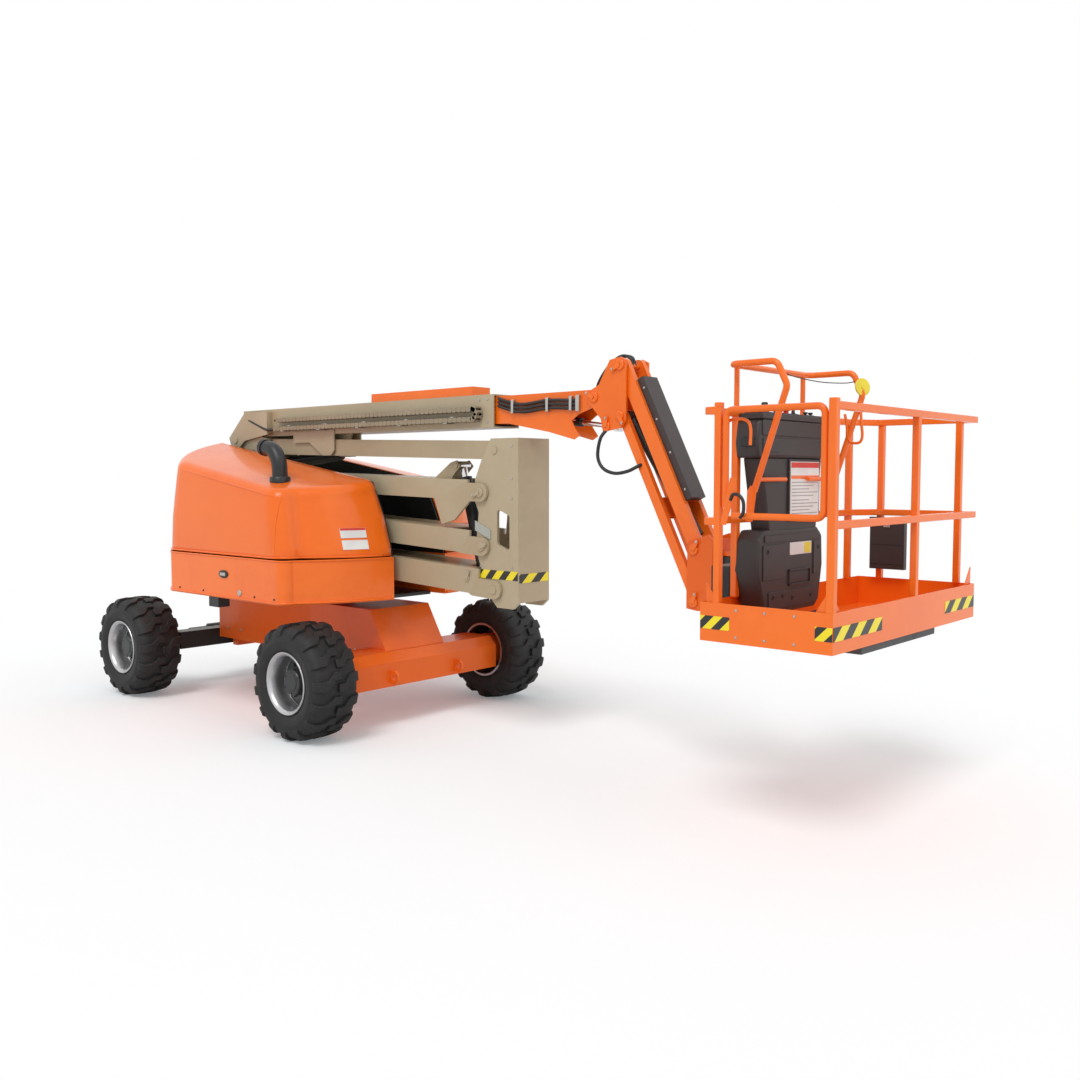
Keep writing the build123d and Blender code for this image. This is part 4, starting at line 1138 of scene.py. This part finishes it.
def addGussets(y, front, left):
    bm = bmesh.new()
    for outline in iron["gussets"]:
        addPlate(bm, outline, (slewX, y - 0.004, 0), 0.007)
    for spot in (y, left):
        reach = iron["gussetSide"] if spot < 0 else -iron["gussetSide"]
        outline = [(spot, 1.238), (spot + reach, 1.238), (spot, 1.34)]
        addSlab(bm, outline, (slewX + front, 0, 0), (0, 1, 0), (0, 0, 1), 0.007)
    addPlate(bm, iron["hingePlate"], (slewX, y - 0.022, 0), 0.006)
    for guard in iron["guardAt"]:
        addPlate(bm, iron["guardPlate"], (slewX, guard - 0.021, 0), 0.005)
    settle("gussets", bm, "platform", orange, "orange", 0.0015)


def addPlatformIron():
    low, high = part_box("top_rail")
    y, front, left = low[1] + rail["half"], high[0] - slewX - rail["half"], high[1] - rail["half"]
    p = iron["post"]
    corner = [((front - p, y - p, 1.236), (front + p, y + p, 2.240))]
    addBoxes("cornerPost", "platform", orange, "orange", corner, 0.004)
    addGussets(y, front, left)
    loops = [[(a, y + b, c) for a, b, c in iron["gateLoop"]], [(a, 0.18, c) for a, c in iron["guardLoop"]]]
    addTubes("loops", "platform", orange, "orange", loops, 0.008, 12, 5)
    hook = [[(a, y + b, c) for a, b, c in iron["hook"]]]
    addTubes("gateHook", "platform", blackPlastic, "black", hook, 0.0085, 12, 6)
    bm = bmesh.new()
    addLathe(bm, at(4.795, 0.19, 2.372), (0.86, -0.42, 0.12), iron["disc"], 36)
    settle("stopDisc", bm, "platform", webYellow, "plastic", 0.0)
    addTubes("stopWire", "platform", blackPlastic, "black", [iron["wire"]], 0.0028, 8, 8)
    hoop = [[(a, -0.585, c) for a, c in iron["footHoop"]]]
    addTubes("footHoop", "platform", blackPaint, "black", hoop, 0.009, 12, 5)
    addBoxes("floorChannel", "platform", castIron, "steel", iron["channel"], 0.004)


def addDocumentLid():
    low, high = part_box("document_box")
    x0, x1, y = low[0] - slewX, high[0] - slewX, low[1]
    middle = (x0 + x1) / 2
    rows = [
        ((x0 - 0.004, y - 0.004, high[2] - 0.012), (x1 + 0.004, high[1] + 0.001, high[2] + 0.022)),
        ((middle - 0.02, y - 0.008, high[2] - 0.04), (middle + 0.02, y - 0.003, high[2] + 0.004), 1),
    ]
    rows += [((x0 + 0.01, y - 0.003, low[2] + z), (x1 - 0.01, y, low[2] + z + 0.004)) for z in (0.03, 0.15)]
    addBoxes("documentLid", "platform", (blackPlastic, zincSteel), "plastic", rows)


addPlatformIron()
addDocumentLid()
addBoxes("toolBox", "platform", (blackPaint, zincSteel), "black", iron["toolBox"], 0.006)
print("platform iron made")

# console: shaped mouldings, lids, blank sheet, knobs and the cabinet's trim
console = {
    "face": 4.6205,
    "right": -0.598,
    "left": 0.098,
    "top": 2.211,
    "middle": 4.56,
    "shell": (
        (4.485, 4.6195, [
            (-0.622, 1.972), (-0.640, 2.05), (-0.622, 2.150), (-0.585, 2.182),
            (0.075, 2.182), (0.112, 2.150), (0.128, 2.05), (0.112, 1.972)]),
        (4.500, 4.611, [(-0.585, 1.975), (0.085, 1.975), (0.062, 1.80), (0.03, 1.56), (-0.49, 1.56), (-0.545, 1.80)]),
        (4.478, 4.6195, [
            (-0.50, 1.592), (0.03, 1.592), (0.088, 1.545), (0.098, 1.38), (0.058, 1.185), (0.008, 1.146),
            (-0.475, 1.146), (-0.555, 1.185), (-0.622, 1.38), (-0.608, 1.545), (-0.56, 1.592)]),
    ),
    "rules": (1.84, 1.822, 1.804, 1.786, 1.768, 1.744, 1.726, 1.708, 1.69, 1.672),
    "knobs": (
        (-0.47, 0.055, 0.017), (-0.36, 0.02, 0.012), (-0.30, 0.02, 0.012),
        (-0.16, 0.06, 0.019), (-0.02, 0.022, 0.013), (0.04, 0.022, 0.013),
    ),
    "stop": [
        (0, 0.026), (0.004, 0.026), (0.006, 0.014), (0.018, 0.014),
        (0.02, 0.021), (0.03, 0.021), (0.034, 0.016), (0.034, 0),
    ],
    "trim": (  # from and to, how far it is sunk and stands proud, paint
        (-0.56, 1.528, 0.05, 1.565, 0.002, 0.005, 0),
        (-0.575, 1.33, -0.34, 1.515, 0.002, 0.005, 0),
        (-0.02, 1.33, 0.065, 1.515, 0.002, 0.005, 0),
        (-0.515, 1.172, 0.02, 1.262, 0.002, 0.005, 0),
        (-0.30, 1.285, -0.06, 1.293, 0.002, 0.009, 0),
        (-0.30, 1.364, -0.06, 1.372, 0.002, 0.009, 0),
        (-0.30, 1.285, -0.292, 1.372, 0.002, 0.009, 0),
        (-0.068, 1.285, -0.06, 1.372, 0.002, 0.009, 0),
        (-0.286, 1.299, -0.074, 1.358, 0.002, 0.003, 1),
        (-0.286, 1.45, -0.043, 1.518, 0.002, 0.0016, 2),
        (-0.13, 1.455, -0.05, 1.513, 0, 0.0026, 3),
    ),
    "plugs": ((-0.365, 1.235), (-0.26, 1.218), (-0.47, 1.235), (-0.53, 1.48), (0.03, 1.48), (-0.05, 1.218)),
    "plug": [(0, 0.013), (0.004, 0.013), (0.005, 0.009), (0.002, 0.008), (0.002, 0)],
}


def addConsoleShell():
    bm = bmesh.new()
    for rear, front, outline in console["shell"]:
        addSlab(bm, outline, (slewX + (rear + front) / 2, 0, 0), (0, 1, 0), (0, 0, 1), front - rear)
    settle("consoleShell", bm, "platform", darkPlastic, "plastic", 0.011, 35, ["control_console"])


def addConsoleLids():
    f, a, b = console["face"], console["right"], console["left"]
    addBoxes("consoleLids", "platform", (darkPlastic, blackPlastic), "plastic", [
        ((4.487, a - 0.010, 2.174), (4.629, b + 0.010, 2.203)),
        ((4.505, a + 0.01, 2.200), (4.611, b - 0.01, 2.212)),
        ((f - 0.002, a + 0.002, 2.088), (f + 0.005, b - 0.002, 2.170)),
        ((f - 0.002, a + 0.012, 1.985), (f + 0.005, b - 0.012, 2.076)),
        ((f, a + 0.05, 2.0), (f + 0.0075, a + 0.17, 2.055), 1),
        ((4.52, a - 0.044, 2.03), (4.60, a - 0.03, 2.08), 1),
    ], 0.005)


def addConsoleSheet():
    f = console["face"]
    raised = f + 0.0022
    rows = [
        ((4.596, -0.305, 1.632), (4.6205, 0.045, 1.9665)),
        ((f, -0.292, 1.65), (raised, 0.032, 1.955), 1),
        ((raised, -0.288, 1.922), (f + 0.0032, 0.028, 1.951), 2),
        ((raised, -0.288, 1.862), (f + 0.0032, 0.028, 1.88), 3),
    ]
    for k, z in enumerate(console["rules"]):
        rows.append(((raised, -0.278, z), (f + 0.0028, 0.018 - 0.05 * (k % 3), z + 0.005), 4))
    faces = (darkPlastic, plateWhite, plateRed, orange, plateGrey)
    addBoxes("consoleSheet", "platform", faces, "plastic", rows, 0.0)


def addConsoleKnobs():
    middle, top = console["middle"], console["top"]
    bm = bmesh.new()
    for y, tall, wide in console["knobs"]:
        turned = [
            (0, wide + 0.007), (0.006, wide + 0.006), (0.008, wide * 0.6), (tall * 0.45, wide * 0.42),
            (tall * 0.55, wide), (tall * 0.9, wide * 1.05), (tall, wide * 0.8), (tall, 0),
        ]
        addLathe(bm, at(middle, y, top), (0, 0, 1), turned, 24)
    addLathe(bm, at(middle, -0.24, top), (0, 0, 1), console["stop"], 28, 1)
    settle("consoleKnobs", bm, "platform", (blackPlastic, plateRed), "plastic", 0.0, 40)


def addCabinetTrim():
    f = console["face"]
    rows = [((f - sunk, a, b), (f + proud, c, d), slot) for a, b, c, d, sunk, proud, slot in console["trim"]]
    faces = (darkPlastic, blackPlastic, plateWhite, webYellow)
    addBoxes("cabinetTrim", "platform", faces, "plastic", rows)
    bm = bmesh.new()
    for y, z in console["plugs"]:
        addLathe(bm, at(f + 0.003, y, z), (1, 0, 0), console["plug"], 20)
    settle("cabinetPlugs", bm, "platform", blackPlastic, "plastic", 0.0, 40)


addConsoleShell()
addConsoleLids()
addConsoleSheet()
addConsoleKnobs()
addCabinetTrim()

# bolts on both sides where parts are screwed together: body, node, size, paint, places in x and z
boltRows = {
    "Jib": (
        "jib", "jib_cover", 0.006, zincSteel,
        [(3.401 + 0.442 * d, 2.603 - 0.897 * d) for d in (0.2, 0.42, 0.65, 0.9)],
    ),
    "Boom": ("boom", "boom_base", 0.008, zincSteel, [(x, z) for x in (2.18, 2.10) for z in (2.25, 2.41)]),
    "Post": ("post", "boom_post", 0.009, zincSteel, [(-0.70, 2.0), (-0.62, 2.0), (-0.66, 2.1)]),
    "Upright": (
        "upright", "tower_upright", 0.007, zincSteel,
        [(2.44, 1.24), (2.44, 1.72), (2.44, 1.86), (2.44, 2.08), (2.14, 1.24)],
    ),
    "Toe": ("platform", "toe_boards", 0.006, zincSteel, [(x, z) for x in (4.66, 4.82, 4.98) for z in (1.075, 1.21)]),
    "Tub": ("turntable", "side_tubs", 0.007, blackPaint, [(x, 0.985) for x in (-0.35, 0.0, 0.7, 0.95)]),
    "Chassis": (
        "chassis", "chassis_frame", 0.010, zincSteel,
        [(x, z) for x in (-0.9, -0.7, 0.7, 0.9) for z in (0.42, 0.52)],
    ),
}


def addBolts():
    for name, (body, node, size, paint, spots) in boltRows.items():
        bm = bmesh.new()
        for x, z in spots:
            for side in (1, -1):
                face = faceAt(node, x, z, side)
                if face is not None:
                    addBolt(bm, (slewX + x, face, z), (0, side, 0), size)
        settle("bolts" + name, bm, body, paint, "steel")


addBolts()
print("bolts made")
